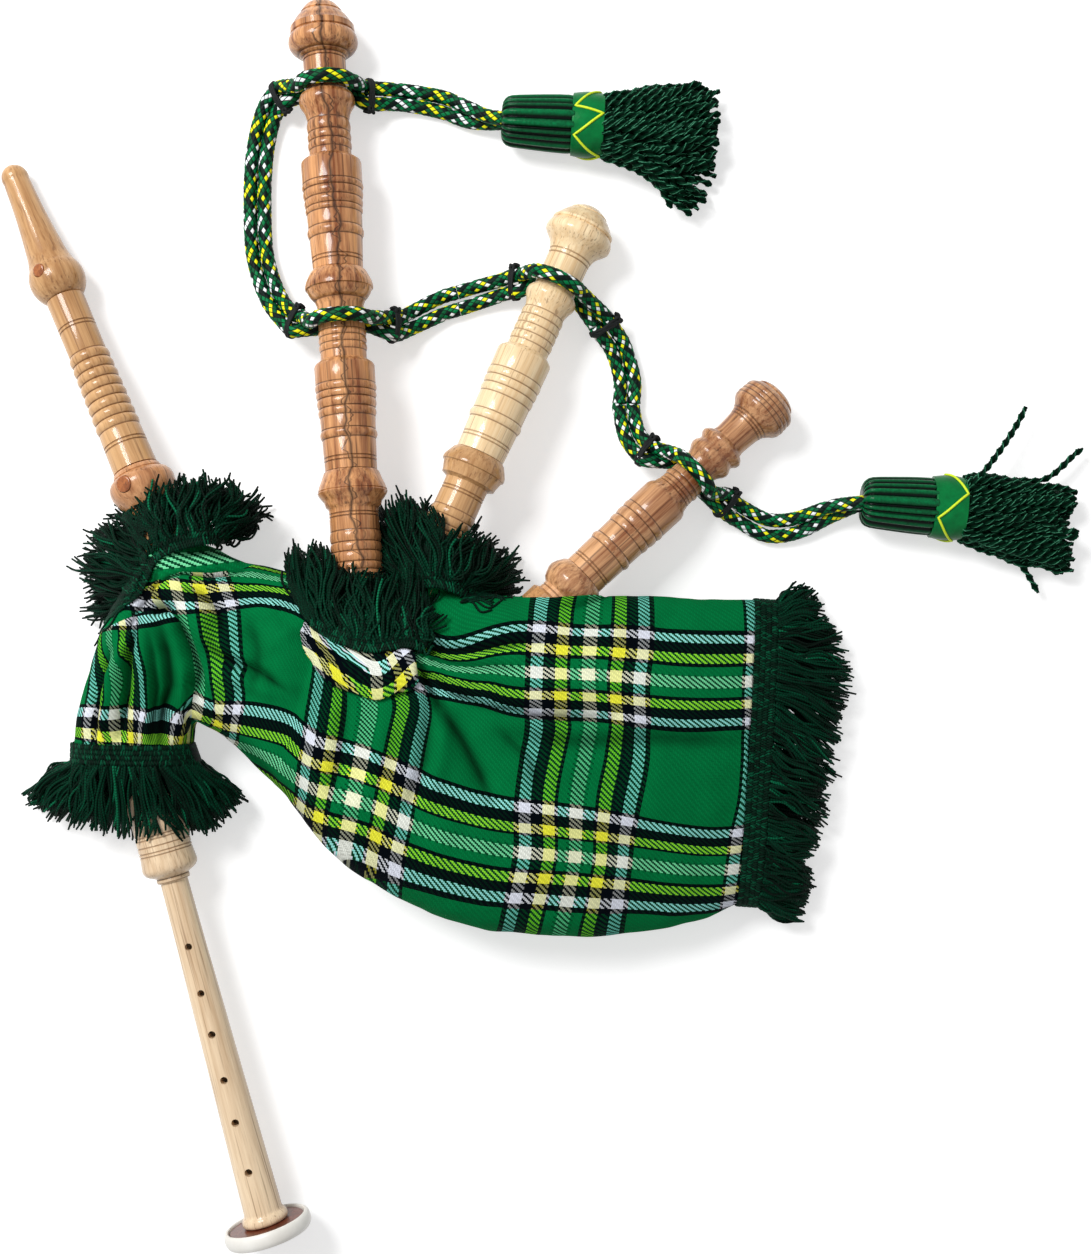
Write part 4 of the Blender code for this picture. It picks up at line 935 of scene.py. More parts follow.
# %% Folds
def line_distance(spots, line):
    """Distance to a broken line, the side of it, and how far along it the nearest point is."""
    line = np.array(line, dtype=float)
    best = np.full(len(spots), 1e9)
    side = np.zeros(len(spots))
    share = np.zeros(len(spots))
    steps = np.linalg.norm(np.diff(line, axis=0), axis=1)
    start = np.concatenate(([0.0], np.cumsum(steps)))
    for i, (a, b) in enumerate(zip(line, line[1:])):
        t = np.clip(((spots - a) @ (b - a)) / steps[i] ** 2, 0, 1)
        gap = spots - (a + t[:, None] * (b - a))
        far = np.hypot(gap[:, 0], gap[:, 1])
        near = far < best
        best = np.where(near, far, best)
        turn = (b - a)[0] * gap[:, 1] - (b - a)[1] * gap[:, 0]
        side = np.where(near, np.sign(turn), side)
        share = np.where(near, (start[i] + t * steps[i]) / start[-1], share)
    return best, side, share


# kind, line in the photograph's frame, width, height in mm
FOLDS = (
    ("crease", ((151, 610), (162, 608), (172, 609)), 6, -10.0),
    ("crease", ((176, 612), (187, 640), (196, 672), (192, 706)), 8, -5.5),
    ("step", ((214, 702), (203, 668), (192, 636), (180, 612)), 5, 4.0),
    ("crease", ((150, 588), (168, 577), (184, 573), (212, 574), (244, 569)), 4, -4.5),
    ("crease", ((160, 566), (149, 590), (136, 612), (122, 636)), 6, -4.0),
    ("crease", ((138, 604), (128, 640), (118, 664)), 5, 3.0),
    ("crease", ((186, 592), (204, 596), (218, 610), (224, 632)), 5, -3.6),
    ("crease", ((196, 604), (206, 622), (210, 648)), 6, 3.4),
    ("crease", ((272, 626), (292, 655), (290, 700)), 26, 5.0),
    ("crease", ((214, 650), (232, 662), (262, 674), (284, 690)), 5, -4.6),
    ("crease", ((226, 672), (250, 684), (276, 698)), 8, 2.4),
    ("step", ((284, 612), (309, 632), (314, 668), (304, 700), (292, 732)), 6, -5.0),
    ("crease", ((428, 652), (470, 672), (548, 684), (640, 688)), 9, 2.0),
    ("crease", ((428, 672), (452, 692), (484, 704), (545, 716), (612, 718)), 6, -5.0),
    ("crease", ((426, 648), (475, 648), (540, 640)), 6, -3.4),
    ("crease", ((430, 658), (470, 664), (520, 667)), 6, -2.4),
    ("crease", ((436, 700), (462, 740), (480, 775), (490, 800)), 10, -4.4),
    ("crease", ((428, 700), (424, 760), (404, 810)), 9, -3.0),
    ("crease", ((450, 700), (440, 760), (430, 800)), 10, 2.4),
    ("crease", ((386, 706), (378, 760), (360, 800)), 11, 2.4),
    ("crease", ((345, 700), (338, 760), (326, 800)), 9, -2.4),
    ("crease", ((500, 730), (530, 760), (540, 790)), 8, -2.6),
    ("crease", ((520, 735), (580, 742), (650, 738), (745, 742)), 14, -2.8),
    ("crease", ((500, 800), (560, 812), (640, 825)), 18, 1.8),
    ("crease", ((141, 650), (147, 690), (150, 738)), 8, 4.0),
    ("crease", ((136, 622), (127, 650), (124, 700), (120, 738)), 5, -6.5),
    ("crease", ((112, 660), (106, 700), (103, 738)), 7, 3.8),
    ("crease", ((160, 628), (168, 690), (163, 742)), 8, -6.5),
    ("crease", ((148, 634), (156, 690), (152, 740)), 4, -3.4),
    ("crease", ((182, 668), (182, 705), (180, 742)), 6, 2.6),
    ("crease", ((108, 650), (96, 690), (92, 738)), 5, -4.5),
    ("crease", ((420, 664), (430, 688), (444, 714)), 5, -6.0),
    ("crease", ((404, 640), (418, 648), (440, 652)), 4, -4.0),
    ("crease", ((250, 622), (258, 650), (252, 690)), 9, -2.4),
    ("crease", ((232, 738), (262, 770), (300, 812)), 9, -2.2),
)


def fold_heights(points):
    """How far the folds push each point out, and how much painted shade it gets in a crease."""
    spots = on_photo(points)
    heights = np.zeros(len(points))
    shade = np.zeros(len(points))
    for kind, line, width, height in FOLDS:
        far, side, share = line_distance(spots, line)
        fade = np.clip(np.minimum(share, 1 - share) * 5, 0, 1)
        ends = np.where((share > 0) & (share < 1), 0.35 + 0.65 * fade, 0.35)
        if kind == "crease":
            heights += height * ends * np.exp(-(far / width) ** 2)
            # painted shade along the deeper creases, narrower than the fold itself
            depth = min(1.0, max(0.0, -height / 4.5))
            shade = np.maximum(shade, depth * ends * np.exp(-(far / (0.55 * width)) ** 2))
        else:
            rise = 0.5 + 0.5 * np.tanh(side * far / width * 2.0)
            heights += height * ends * rise * np.exp(-(far / (6 * width)) ** 2)
    for i, point in enumerate(points):
        place = Vector(point) * 0.02
        heights[i] += (1.4 * noise.noise(place) + 0.9 * noise.noise(place * 2.7)
                       + 0.3 * noise.noise(place * 7.0))
    return heights, shade


# %% Shell of cloth or leather
def settle(obj):
    """Applies the modifiers of a piece for good."""
    bpy.context.view_layer.update()
    graph = bpy.context.evaluated_depsgraph_get()
    mesh = bpy.data.meshes.new_from_object(obj.evaluated_get(graph))
    obj.modifiers.clear()
    obj.data = mesh


def opened(points, faces, openings):
    """Leaves out the faces inside each pipe's opening and rounds the edge that is left."""
    inside = np.zeros(len(points), dtype=bool)
    moved = points.copy()
    for pipe, radius, first, last in openings:
        matrix = axis_matrix(pipe)
        back = np.array(matrix.inverted())
        local = (np.column_stack((points * MM, np.ones(len(points)))) @ back.T)[:, :3] / MM
        far = np.hypot(local[:, 0], local[:, 1])
        here = (far < radius) & (local[:, 2] > first) & (local[:, 2] < last)
        local[here, :2] *= (radius / np.maximum(far[here], 0.1))[:, None]
        world = (np.column_stack((local * MM, np.ones(len(points)))) @ np.array(matrix).T)
        moved[here] = world[here, :3] / MM
        inside |= here
    kept = [face for face in faces if not all(inside[k] for k in face)]
    return moved, kept


def shell(name, points, faces, material, thickness, attributes=None):
    top = max(faces, key=lambda face: sum(points[k][2] for k in face[:4]))
    a, b, c = (Vector(points[k]) for k in top[:3])
    if (b - a).cross(c - a).z < 0:
        faces = [tuple(reversed(face)) for face in faces]
    used = sorted({k for face in faces for k in face})
    place = {k: i for i, k in enumerate(used)}
    obj = add_mesh(name, [points[k] for k in used],
                   [tuple(place[k] for k in face) for face in faces], material)
    for key, values in (attributes or {}).items():
        set_attribute(obj, key, [values[k] for k in used])
    solid = obj.modifiers.new("thickness", "SOLIDIFY")
    solid.thickness = thickness * MM
    solid.offset = -1.0
    settle(obj)
    return obj


# %% [markdown]
# ## Threads of the tartan
# Tartan is woven: the same row of coloured threads runs along and across the cloth, and each
# thread passes over two and under two. The pattern can only bend with the cloth if every
# point of the cover knows which threads cross there. The stripes of the photograph were
# followed as lines of equal thread number. A thin plate spline, the shape that a
# sheet of springy metal takes when it is held at a few points, then fills in between them.

# %% Measured stripe lines
ACROSS = {
    -49.5: ((436.7, 641.9), (475.6, 637.8), (511.7, 628), (539.4, 628), (564.4, 630.8),
            (592, 632.8), (620, 632.8), (645, 634.4), (670, 637.2), (697.8, 638.9),
            (725.6, 638.9), (750.6, 639.7)),
    -27: ((447.8, 658.6), (475.6, 655.8), (511.7, 647.5), (539.4, 647.5), (561.7, 650.3),
          (592.2, 650.3), (620, 653), (642, 654.4), (670, 657.2), (697.8, 659.2),
          (725.6, 659.2), (753.3, 658)),
    0: ((489.4, 668.3), (511.7, 671), (536.7, 672.5), (560.3, 673.9),
        (588, 674.4), (614.4, 676), (639.4, 678), (670, 681.4), (697.8, 682.2), (725.6, 682.2),
        (750.6, 681.4)),
    27: ((164.6, 584), (204.6, 590), (235, 587), (252, 589), (272, 590), (436.7, 673.9),
         (456, 680.8), (475.6, 687.8), (503.3, 693.3), (533.9, 695.6), (558.9, 696),
         (589.4, 697.5), (614.4, 699.7), (639.4, 701.7), (670, 704.4), (697.8, 705.8),
         (725.6, 705.8), (750.6, 704.4)),
    49.5: ((240, 602.5), (260, 598.8), (280, 602.5), (300, 610), (436.7, 693), (484, 697.5),
           (547.8, 711.4), (560.3, 713.3), (590.8, 713.3), (618.6, 716), (639.4, 718.9),
           (670, 722.5), (697.8, 723.3), (725.6, 721.7), (750.6, 720.6)),
    161.5: ((195, 700), (215, 708.8), (238.8, 710), (260, 712.5), (285, 717.5), (310, 741),
            (332.5, 745), (350, 748.8), (365, 753.8), (390, 763.8), (412.5, 775),
            (436.7, 786.4), (456, 792.8), (475.6, 799.4), (503.3, 804.4), (524, 808),
            (547.8, 810), (575.6, 813.6), (603.3, 817.8), (627, 822), (656, 828),
            (683.9, 832.2), (711.7, 835), (738, 833.6)),
    184: ((197.5, 712.5), (210, 722.5), (240, 727.5), (250, 732.5), (272.5, 737.5), (290, 741),
          (305, 760), (327.5, 766), (357.5, 773.8), (387.5, 785), (410, 796), (436.7, 808.6),
          (456, 814), (475.6, 819.7), (503.3, 825.3), (525.6, 828), (547.8, 829.4),
          (575.6, 833.6), (602, 835.8), (624, 838.6), (656, 843.3), (683.9, 847.5),
          (711.7, 850.3), (736.7, 848.9)),
    211: ((255, 750), (267.5, 757.5), (280, 762.5), (295, 777.5), (323.8, 792.5), (355, 798.8),
          (382.5, 810), (405, 822.5), (436.7, 835), (456, 840.6), (475.6, 844.7),
          (503.3, 850.3), (525.6, 852.2), (549, 855), (575.6, 856.7), (602, 860),
          (622.8, 862.2), (656, 866.4), (683.9, 869.2), (711.7, 869.7), (733.9, 868.3)),
    238: ((317.5, 816), (347.5, 826), (377.5, 837.5), (400, 848.8), (420, 854.4),
          (436.7, 861.4), (456, 866.9), (475.6, 871), (503.3, 875.8), (520, 877), (543.6, 878),
          (571.4, 879.4), (596.4, 881.7), (618.6, 883.6), (656, 888.6), (683.9, 890.6),
          (711.7, 892), (729.7, 890.6)),
    260.5: ((327.5, 837.5), (345, 845), (372.5, 857.5), (420, 879.4), (436.7, 883.6),
            (456, 889), (475.6, 894), (503.3, 897.5), (515.8, 898.3), (539.4, 899.4),
            (567, 902), (593.6, 903.9), (617.8, 904.4), (642, 905.8), (670, 908), (697.8, 908),
            (720, 905)),
}
ALONG = {
    -49.5: ((542, 601.7), (539.4, 628), (538, 647.5), (536.7, 672.5), (535.3, 696),
            (536.7, 732), (531, 754), (527, 782), (524, 808), (525, 828), (525.6, 852),
            (520, 877), (515.8, 898), (511.7, 915.6)),
    -27: ((565.8, 601.7), (564.4, 615.6), (563.6, 630.8), (561.7, 650.3), (561, 672.5),
          (559.7, 696), (559.7, 714), (561.7, 732), (556, 754.4), (550.6, 782), (547.8, 810.8),
          (548.6, 830), (549, 854.4), (544, 878), (539.4, 899.4), (533.9, 918.3)),
    0: ((593.6, 601.7), (590.8, 632), (589.4, 650), (588, 674), (589.4, 696), (590.3, 714),
        (590, 732), (585.3, 754), (579.7, 782), (576, 814), (575.6, 833.6), (575, 856.7),
        (571.4, 879.4), (567, 901.7), (563, 921)),
    27: ((621.4, 601.7), (620, 632), (620, 653), (615.8, 676), (615.3, 699.7), (617.8, 716),
         (617.8, 732), (614.4, 754), (608.9, 782), (603.9, 817.8), (602, 835.8), (602, 860),
         (597, 881.7), (594.4, 904), (588, 926.7)),
    49.5: ((643.6, 601.7), (644.4, 634.4), (643, 654.4), (639.4, 679), (639.4, 701.7),
           (640, 719), (640.3, 737.8), (639.4, 754), (635.3, 782), (627, 822), (624, 838.6),
           (622.8, 862), (619, 883.6), (617.8, 904.4), (611.7, 929.4)),
    161.5: ((751, 602), (752, 621), (753.3, 639.7), (752, 658), (750.6, 681.4), (749.7, 704.4),
            (750.6, 720.6), (750, 740.6), (749, 765.6), (746.4, 796), (742, 818), (738, 833.6),
            (736, 848.9), (733.9, 868), (730.3, 890.6)),
    -138: ((428, 600), (426, 640), (430, 668), (440, 690)),
    -161.5: ((396, 650), (412, 684), (425, 712.5), (420, 730), (416, 752.5), (412.5, 772.5), (407.5, 797.5),
             (403.8, 822.5), (397.5, 847.5)),
    -184: ((407.5, 697.5), (400, 717.5), (396, 740), (391, 762.5), (386, 785), (381, 810),
           (376, 835)),
    -211: ((370, 705), (366, 730), (362.5, 750), (358.8, 772.5), (353.8, 797.5), (350, 822.5)),
    -238: ((337.5, 692.5), (335, 717.5), (331, 742.5), (327.5, 767.5), (322.5, 792.5),
           (318.8, 815)),
    -260.5: ((318.8, 685), (315, 700), (312.5, 717.5), (310, 740), (306, 760), (303.8, 785),
             (301, 802)),
    -372.5: ((222, 580), (232.5, 605), (234.5, 640), (237, 672), (239, 702)),
    -395: ((197, 586), (210, 620), (214, 645), (217, 670), (220, 695)),
    -422: ((180, 600), (186, 627), (195, 655)),
}
LEG_ACROSS = {
    49.5: ((145, 620), (160, 616), (175, 612)),
    161.5: ((85, 712), (113, 715), (142, 716), (168, 716), (190, 714)),
    184: ((85, 733), (110, 737), (150, 739), (190, 738)),
}
LEG_ALONG = {
    -449: ((188, 712), (183, 736)),
    -471.5: ((176, 716), (170, 738)),
    -482: ((190, 640), (200, 668), (208, 692), (190, 696)),
    -583.5: ((135, 627), (141, 670), (147, 712)),
    -606: ((122, 655), (128, 700), (133, 742)),
    -633: ((115, 665), (113, 700), (110, 735)),
    -660: ((107, 667), (105, 700), (105, 740)),
    -682.5: ((92, 690), (85, 728)),
}
FLAP_ACROSS = {
    -49.5: ((311, 631), (328, 643), (345, 652), (363, 663), (381, 673), (393, 661), (402, 652)),
    -27: ((305, 652), (317, 660), (326, 667), (336, 674), (357, 686), (378, 696), (390, 689),
          (403, 679), (412, 668)),
}
FLAP_ALONG = {
    -260.5: ((300, 626), (317, 660)),
    -238: ((314, 636), (336, 674)),
    -230: ((326, 644), (345, 680)),
    -219: ((372, 668), (374, 697)),
    -202: ((382, 671), (381, 697)),
    -184: ((393, 661), (403, 679)),
    -161.5: ((404, 650), (413, 668)),
}
FLAP_EDGE = ((300, 632), (304, 650), (311, 661), (317, 671), (330, 684), (347, 691), (362, 696),
             (376, 700), (388, 697), (400, 693), (411, 690), (419, 682))
FLAP_ROOT = ((306, 620), (310, 626), (316, 631), (325, 636), (336, 640), (348, 644), (360, 646),
             (371, 647), (383, 646), (394, 644), (404, 643), (414, 643))
POCKET_LINE = ((60, 640), (105, 628), (140, 613), (165, 608), (180, 620), (192, 650), (196, 680),
               (193, 700), (190, 745))
NECK_LINE = ((140, 592), (160, 580), (184, 572), (212, 573), (242, 569), (262, 562))
UNIT = 0.4874


# %% Thin plate spline
def plate(spots, values, smoothing=60.0):
    n = len(spots)
    square = ((spots[:, None] - spots[None]) ** 2).sum(-1)
    kernel = 0.5 * square * np.log(np.maximum(square, 1e-6)) + smoothing * np.eye(n)
    ones = np.column_stack((np.ones(n), spots))
    whole = np.block([[kernel, ones], [ones.T, np.zeros((3, 3))]])
    weights = np.linalg.solve(whole, np.concatenate((values, np.zeros(3))))

    def bend(places):
        square = ((places[:, None] - spots[None]) ** 2).sum(-1)
        return (0.5 * square * np.log(np.maximum(square, 1e-6)) @ weights[:n]
                + weights[n] + places @ weights[n + 1:])
    return bend


def unrolled(rings):
    """Each point moved outwards, as if the section were rolled out flat on the table."""
    flat = np.zeros((rings.shape[0], rings.shape[1], 2))
    count = rings.shape[1]
    top = count // 4
    for i, ring in enumerate(rings):
        across = ring[0, :2] - ring[count // 2, :2]
        across /= np.linalg.norm(across)
        steps = np.linalg.norm(np.diff(np.vstack((ring, ring[:1])), axis=0), axis=1)
        lengths = np.zeros(count)
        for k in range(1, count // 2 + 1):
            lengths[(top - k) % count] = lengths[(top - k + 1) % count] + steps[(top - k) % count]
        for k in range(1, count // 2):
            lengths[(top + k) % count] = (lengths[(top + k - 1) % count]
                                          - steps[(top + k - 1) % count])
        flat[i] = ring[top, :2] + across * lengths[:, None]
    return flat


def thread_numbers(spots, flat, upper, along_lines, across_lines, wanted):
    """Thread coordinates in millimetres where the stripe lines are known, and between."""
    result = np.zeros((len(wanted), 2))
    for column, lines in ((0, along_lines), (1, across_lines)):
        places, values = [], []
        for value, line in lines.items():
            for px in line:
                gap = np.hypot(spots[:, 0] - px[0], spots[:, 1] - px[1])
                nearest = int(np.argmin(np.where(upper, gap, 1e9)))
                offset = (np.array(px) - spots[nearest]) * UNIT * (1, -1)
                places.append(flat[nearest] + offset)
                values.append(value * UNIT)
        result[:, column] = plate(np.array(places), np.array(values))(wanted)
    return result


def thread_places(points, flat):
    """The body's threads, and those of the two places where the cloth is folded over.

    The third number says where a point is: above zero it lies in the leg or in the neck, and
    the second set of threads counts there.
    """
    spots = on_photo(points)
    upper = points[:, 2] > 16.0
    far, side, _ = line_distance(spots, POCKET_LINE)
    over, above, share = line_distance(spots, NECK_LINE)
    neck = np.where((share > 0) & (share < 1), -over * above, -9.0)
    body = thread_numbers(spots, flat, upper, ALONG, ACROSS, flat)
    other = thread_numbers(spots, flat, upper, LEG_ALONG, LEG_ACROSS, flat)
    pale = 561.0 - 0.113 * (spots[:, 0] - 180.0)
    folded = np.column_stack((-316.0 + 0.6 * (spots[:, 0] - 205.0), spots[:, 1] - pale)) * UNIT
    other[neck > -6.0] = folded[neck > -6.0]
    return (np.column_stack((body, np.maximum(far * side, neck))).tolist(),
            np.column_stack((other, np.zeros(len(other)))).tolist())


# %% Twill group
SETT = ((0.0, "pale"), (6.5, "green"), (18.0, "black"), (21.5, "yellow"), (32.5, "navy"),
        (44.0, "white"), (54.8, "black"), (59.0, "green"))
HALF_SETT = 105.5
ALONE = {"pale": (126, 236, 172), "green": (0, 116, 60), "black": (0, 12, 10),
         "yellow": (150, 240, 56), "navy": (0, 14, 24), "white": (160, 246, 236)}
CROSSED = {"pale": (246, 250, 214), "green": (0, 62, 34), "black": (0, 10, 10),
           "yellow": (248, 246, 66), "navy": (0, 8, 24), "white": (238, 242, 255)}
LIGHT = {"pale": 1.0, "green": 0.0, "black": 0.0, "yellow": 1.0, "navy": 0.0, "white": 1.0}
SHADE = {"pale": 0.0, "green": 0.0, "black": 1.0, "yellow": 0.0, "navy": 1.0, "white": 0.0}
THREADS = (0.79, 0.66)
TOOTH = 1.6


def sett_group():
    """The row of threads: what colour a thread has alone and where it crosses a pale one."""
    group = bpy.data.node_groups.new("sett", "ShaderNodeTree")
    group.interface.new_socket("Across", in_out="INPUT", socket_type="NodeSocketFloat")
    for name, kind in (("Alone", "NodeSocketColor"), ("Crossed", "NodeSocketColor"),
                       ("Light", "NodeSocketColor"), ("Shade", "NodeSocketColor")):
        group.interface.new_socket(name, in_out="OUTPUT", socket_type=kind)
    r = Recipe(group)
    across = r.add("NodeGroupInput", None, None).outputs["Across"]
    unit = r.math("DIVIDE", across, UNIT)
    folded = r.math("PINGPONG", r.math("ABSOLUTE", unit), HALF_SETT)
    share = r.math("DIVIDE", folded, HALF_SETT)
    outputs = {}
    for name, colours in (("Alone", ALONE), ("Crossed", CROSSED)):
        outputs[name] = r.ramp(share, [(at / HALF_SETT, paint(*colours[kind]))
                                       for at, kind in SETT], "CONSTANT")
    for name, values in (("Light", LIGHT), ("Shade", SHADE)):
        outputs[name] = r.ramp(share, [(at / HALF_SETT, (values[kind],) * 3)
                                       for at, kind in SETT], "CONSTANT")
    r.add("NodeGroupOutput", outputs, None)
    return group


def twill_group():
    """Two over, two under: picks the upper thread and gives its colour and relief."""
    group = bpy.data.node_groups.new("twill", "ShaderNodeTree")
    group.interface.new_socket("Place", in_out="INPUT", socket_type="NodeSocketVector")
    for name, kind in (("Color", "NodeSocketColor"), ("Height", "NodeSocketFloat")):
        group.interface.new_socket(name, in_out="OUTPUT", socket_type=kind)
    r = Recipe(group)
    place = r.add("NodeGroupInput", None, None).outputs["Place"]
    split = r.add("ShaderNodeSeparateXYZ", {0: place}, None)
    setts, numbers, hills = [], [], []
    for axis in range(2):
        number = r.math("FLOOR", r.math("DIVIDE", split.outputs[axis], THREADS[axis]))
        middle = r.math("MULTIPLY", r.math("ADD", number, 0.5), THREADS[axis])
        sett = r.add("ShaderNodeGroup", None, None, node_tree=SETT_GROUP)
        r.join(middle, sett.inputs["Across"])
        within = r.math("FRACT", r.math("DIVIDE", split.outputs[axis], THREADS[axis]))
        hill = r.math("SUBTRACT", 1.0, r.math("ABSOLUTE", r.math(
            "SUBTRACT", r.math("MULTIPLY", within, 2.0), 1.0)))
        setts.append(sett)
        numbers.append(number)
        hills.append(hill)
    phase = r.math("FLOORED_MODULO", r.math("SUBTRACT", numbers[0], numbers[1]), 4.0)
    warp_up = r.math("LESS_THAN", phase, 1.5)
    colours = []
    for own, other, middle in ((0, 1, 0.5), (1, 0, 2.5)):
        # A stitch keeps one colour, so a crossing shows teeth along its edges
        ahead = r.math("MULTIPLY", r.math("SIGN", r.math("SUBTRACT", phase, middle)),
                       TOOTH * (2 * own - 1) * -1)
        place = r.math("MULTIPLY", r.math("ADD", r.math("ADD", numbers[other], 0.5), ahead),
                       THREADS[other])
        near = r.add("ShaderNodeGroup", {"Across": place}, "Light", node_tree=SETT_GROUP)
        crossed = r.math("MAXIMUM", near, setts[other].outputs["Light"])
        dark = r.math("MULTIPLY", setts[other].outputs["Shade"], setts[own].outputs["Light"])
        pale = r.mix(0.35, setts[own].outputs["Crossed"], paint(240, 246, 236))
        colour = r.mix(dark, setts[own].outputs["Alone"], pale)
        colours.append(r.mix(crossed, colour, setts[own].outputs["Crossed"]))
    light = [sett.outputs["Light"] for sett in setts]
    both = r.math("MULTIPLY", r.math("MULTIPLY", light[0], light[1]), 0.5)
    # painted shade: warp floats of a pale stripe are dimmed because they catch less light than weft floats;
    # over black rows the dimming stands for their thinner strokes
    faint = r.mix(setts[1].outputs["Shade"], (0.42, 0.62, 0.55), (0.42, 0.42, 0.4))
    dim = r.mix(1.0, colours[0], faint, "MULTIPLY")
    only = r.math("MULTIPLY", light[0], r.math("SUBTRACT", 1.0, light[1]))
    warp_colour = r.mix(only, colours[0], dim)
    colour = r.mix(warp_up, colours[1], warp_colour)
    other = r.mix(warp_up, warp_colour, colours[1])
    colour = r.mix(both, colour, other)
    shown = r.add("ShaderNodeMix", {0: warp_up, 2: light[1], 3: light[0]}, 0)
    shade = r.math("MAXIMUM", r.math("MULTIPLY", setts[0].outputs["Shade"], 0.78),
                   setts[1].outputs["Shade"])
    shade = r.math("MULTIPLY", shade, r.math(
        "SUBTRACT", 0.94, r.math("MULTIPLY", shown, 0.72)), True)
    colour = r.mix(shade, colour, paint(0, 4, 10))
    height = r.add("ShaderNodeMix", {0: warp_up, 2: hills[1], 3: hills[0]}, 0)
    # warp floats stand a little higher, so the painted relief shade draws faint diagonals
    height = r.math("ADD", r.math("MULTIPLY", height, 0.75), r.math("MULTIPLY", warp_up, 0.3))
    r.add("NodeGroupOutput", {"Color": colour, "Height": height}, None)
    return group


SETT_GROUP = sett_group()
TWILL = twill_group()


def tartan(name, with_leg):
    material, r, shader = new_material(name)
    place = r.add("ShaderNodeAttribute", None, "Vector", attribute_name="thread_place")
    if with_leg:
        leg = r.add("ShaderNodeAttribute", None, "Vector", attribute_name="leg_place")
        split = r.add("ShaderNodeSeparateXYZ", {0: place}, None)
        in_leg = r.math("GREATER_THAN", split.outputs[2], 0.0)
        place = r.add("ShaderNodeMix", {0: in_leg, 4: place, 5: leg}, 1, data_type="VECTOR")
    cloth = r.add("ShaderNodeGroup", None, None, node_tree=TWILL)
    r.join(place, cloth.inputs["Place"])
    wear = r.noise(place, 0.05, 4.0, 0.6)
    slub = r.noise(r.stretched(place, (0.5, 2.0, 1.0)), 1.0, 2.0, 0.5)
    # painted shade from the threads' relief: float tops lighter, the gaps between threads darker
    shade = r.math("ADD", 0.62, r.math("MULTIPLY", cloth.outputs["Height"], 0.42))
    shade = r.math("MULTIPLY", shade, r.math("ADD", 0.8, r.math("MULTIPLY", wear, 0.4)))
    shade = r.math("MULTIPLY", shade, r.math("ADD", 0.84, r.math("MULTIPLY", slub, 0.32)))
    # painted shade in the cloth's creases
    crease = r.add("ShaderNodeAttribute", None, "Fac", attribute_name="crease")
    shade = r.math("MULTIPLY", shade, r.math("SUBTRACT", 1.0, r.math("MULTIPLY", crease, 0.85)))
    colour = r.mix(1.0, cloth.outputs["Color"], shade, "MULTIPLY")
    r.join(colour, shader.inputs["Base Color"])
    r.join(r.add("ShaderNodeBump", {"Height": cloth.outputs["Height"], "Strength": 0.6,
                                    "Distance": 0.0003}, "Normal"), shader.inputs["Normal"])
    shader.inputs["Roughness"].default_value = 0.9
    shader.inputs["Specular IOR Level"].default_value = 0.04
    return material


FINISHES["tartan_cloth"] = tartan("tartan_cloth", True)
FINISHES["tartan_flap"] = tartan("tartan_flap", False)

# %% The cover itself
# The blowpipe's valve opens under this spot, so the cloth and the bag stand off it there
VALVE_ROOM = (-107.0, 5.0, 43.0)


def pushed_by_folds(rings, base, only_in=False):
    """Moves the rings' points along their normals by the folds of the cloth."""
    points = rings.reshape(-1, 3)
    along = np.gradient(rings, axis=0)
    around = np.roll(rings, -1, axis=1) - np.roll(rings, 1, axis=1)
    normals = np.cross(around, along).reshape(-1, 3)
    normals /= np.maximum(np.linalg.norm(normals, axis=1), 1e-9)[:, None]
    top = np.arange(len(points))[points[:, 2] > 40]
    if normals[top, 2].mean() < 0:
        normals = -normals
    share = np.clip((points[:, 2] - 6.0) / 14.0, 0, 1)
    heights, shade = fold_heights(points)
    away = np.linalg.norm(points - np.array(VALVE_ROOM), axis=1)
    room = 6.5 * np.exp(-(away / 16.0) ** 2)
    heights = heights * share + room
    if only_in:
        heights = np.minimum(heights, 0.86 * room)
    folded = points + normals * heights[:, None]
    folded[:, 2] = np.maximum(folded[:, 2], base)
    # the creases' painted shade goes back with the moved points
    return folded, (shade * share).tolist()


PIPES_UNDER = (("bass", 13.2, 262.0, 345.0), ("tenor_left", 13.0, 156.0, 215.0),
               ("tenor_right", 15.8, 128.0, 150.0), ("tenor_right", 13.2, 149.0, 200.0),
               ("blowpipe", 14.2, 180.0, 238.0))


def draped(points, faces, rows):
    """Lays the cloth over each pipe and leaves it open where the pipe comes out."""
    angle = np.tile(2 * np.pi * np.arange(AROUND) / AROUND, rows)
    upper = np.sin(angle) > 0.15
    moved = points.copy()
    state = np.zeros(len(points), dtype=int)
    for pipe, radius, first, last in PIPES_UNDER:
        matrix = np.array(axis_matrix(pipe))
        flat = np.column_stack((moved * MM, np.ones(len(points))))
        local = (flat @ np.linalg.inv(matrix).T)[:, :3] / MM
        x, y = local[:, 0], local[:, 1]
        near = (local[:, 2] > first) & (local[:, 2] < last)
        inside = near & (np.hypot(x, y) < radius)
        far = np.abs(x)
        crown = np.sqrt(np.maximum(radius ** 2 - np.minimum(far, 0.8 * radius) ** 2, 0.0))
        tent = crown - 1.33 * np.maximum(far - 0.8 * radius, 0.0)
        over = near & upper & (far < 1.6 * radius) & (tent > y)
        state[inside & ~upper] = 1
        state[over & (far < radius) & (state != 1)] = 2
        local[over, 1] = tent[over]
        wall = inside & ~upper
        local[wall, :2] *= (radius / np.maximum(np.hypot(x, y)[wall], 0.1))[:, None]
        world = (np.column_stack((local * MM, np.ones(len(points)))) @ matrix.T)[:, :3] / MM
        changed = over | wall
        moved[changed] = world[changed]
    kept = [face for face in faces
            if not (1 in {state[k] for k in face} and 0 not in {state[k] for k in face})]
    return moved, kept


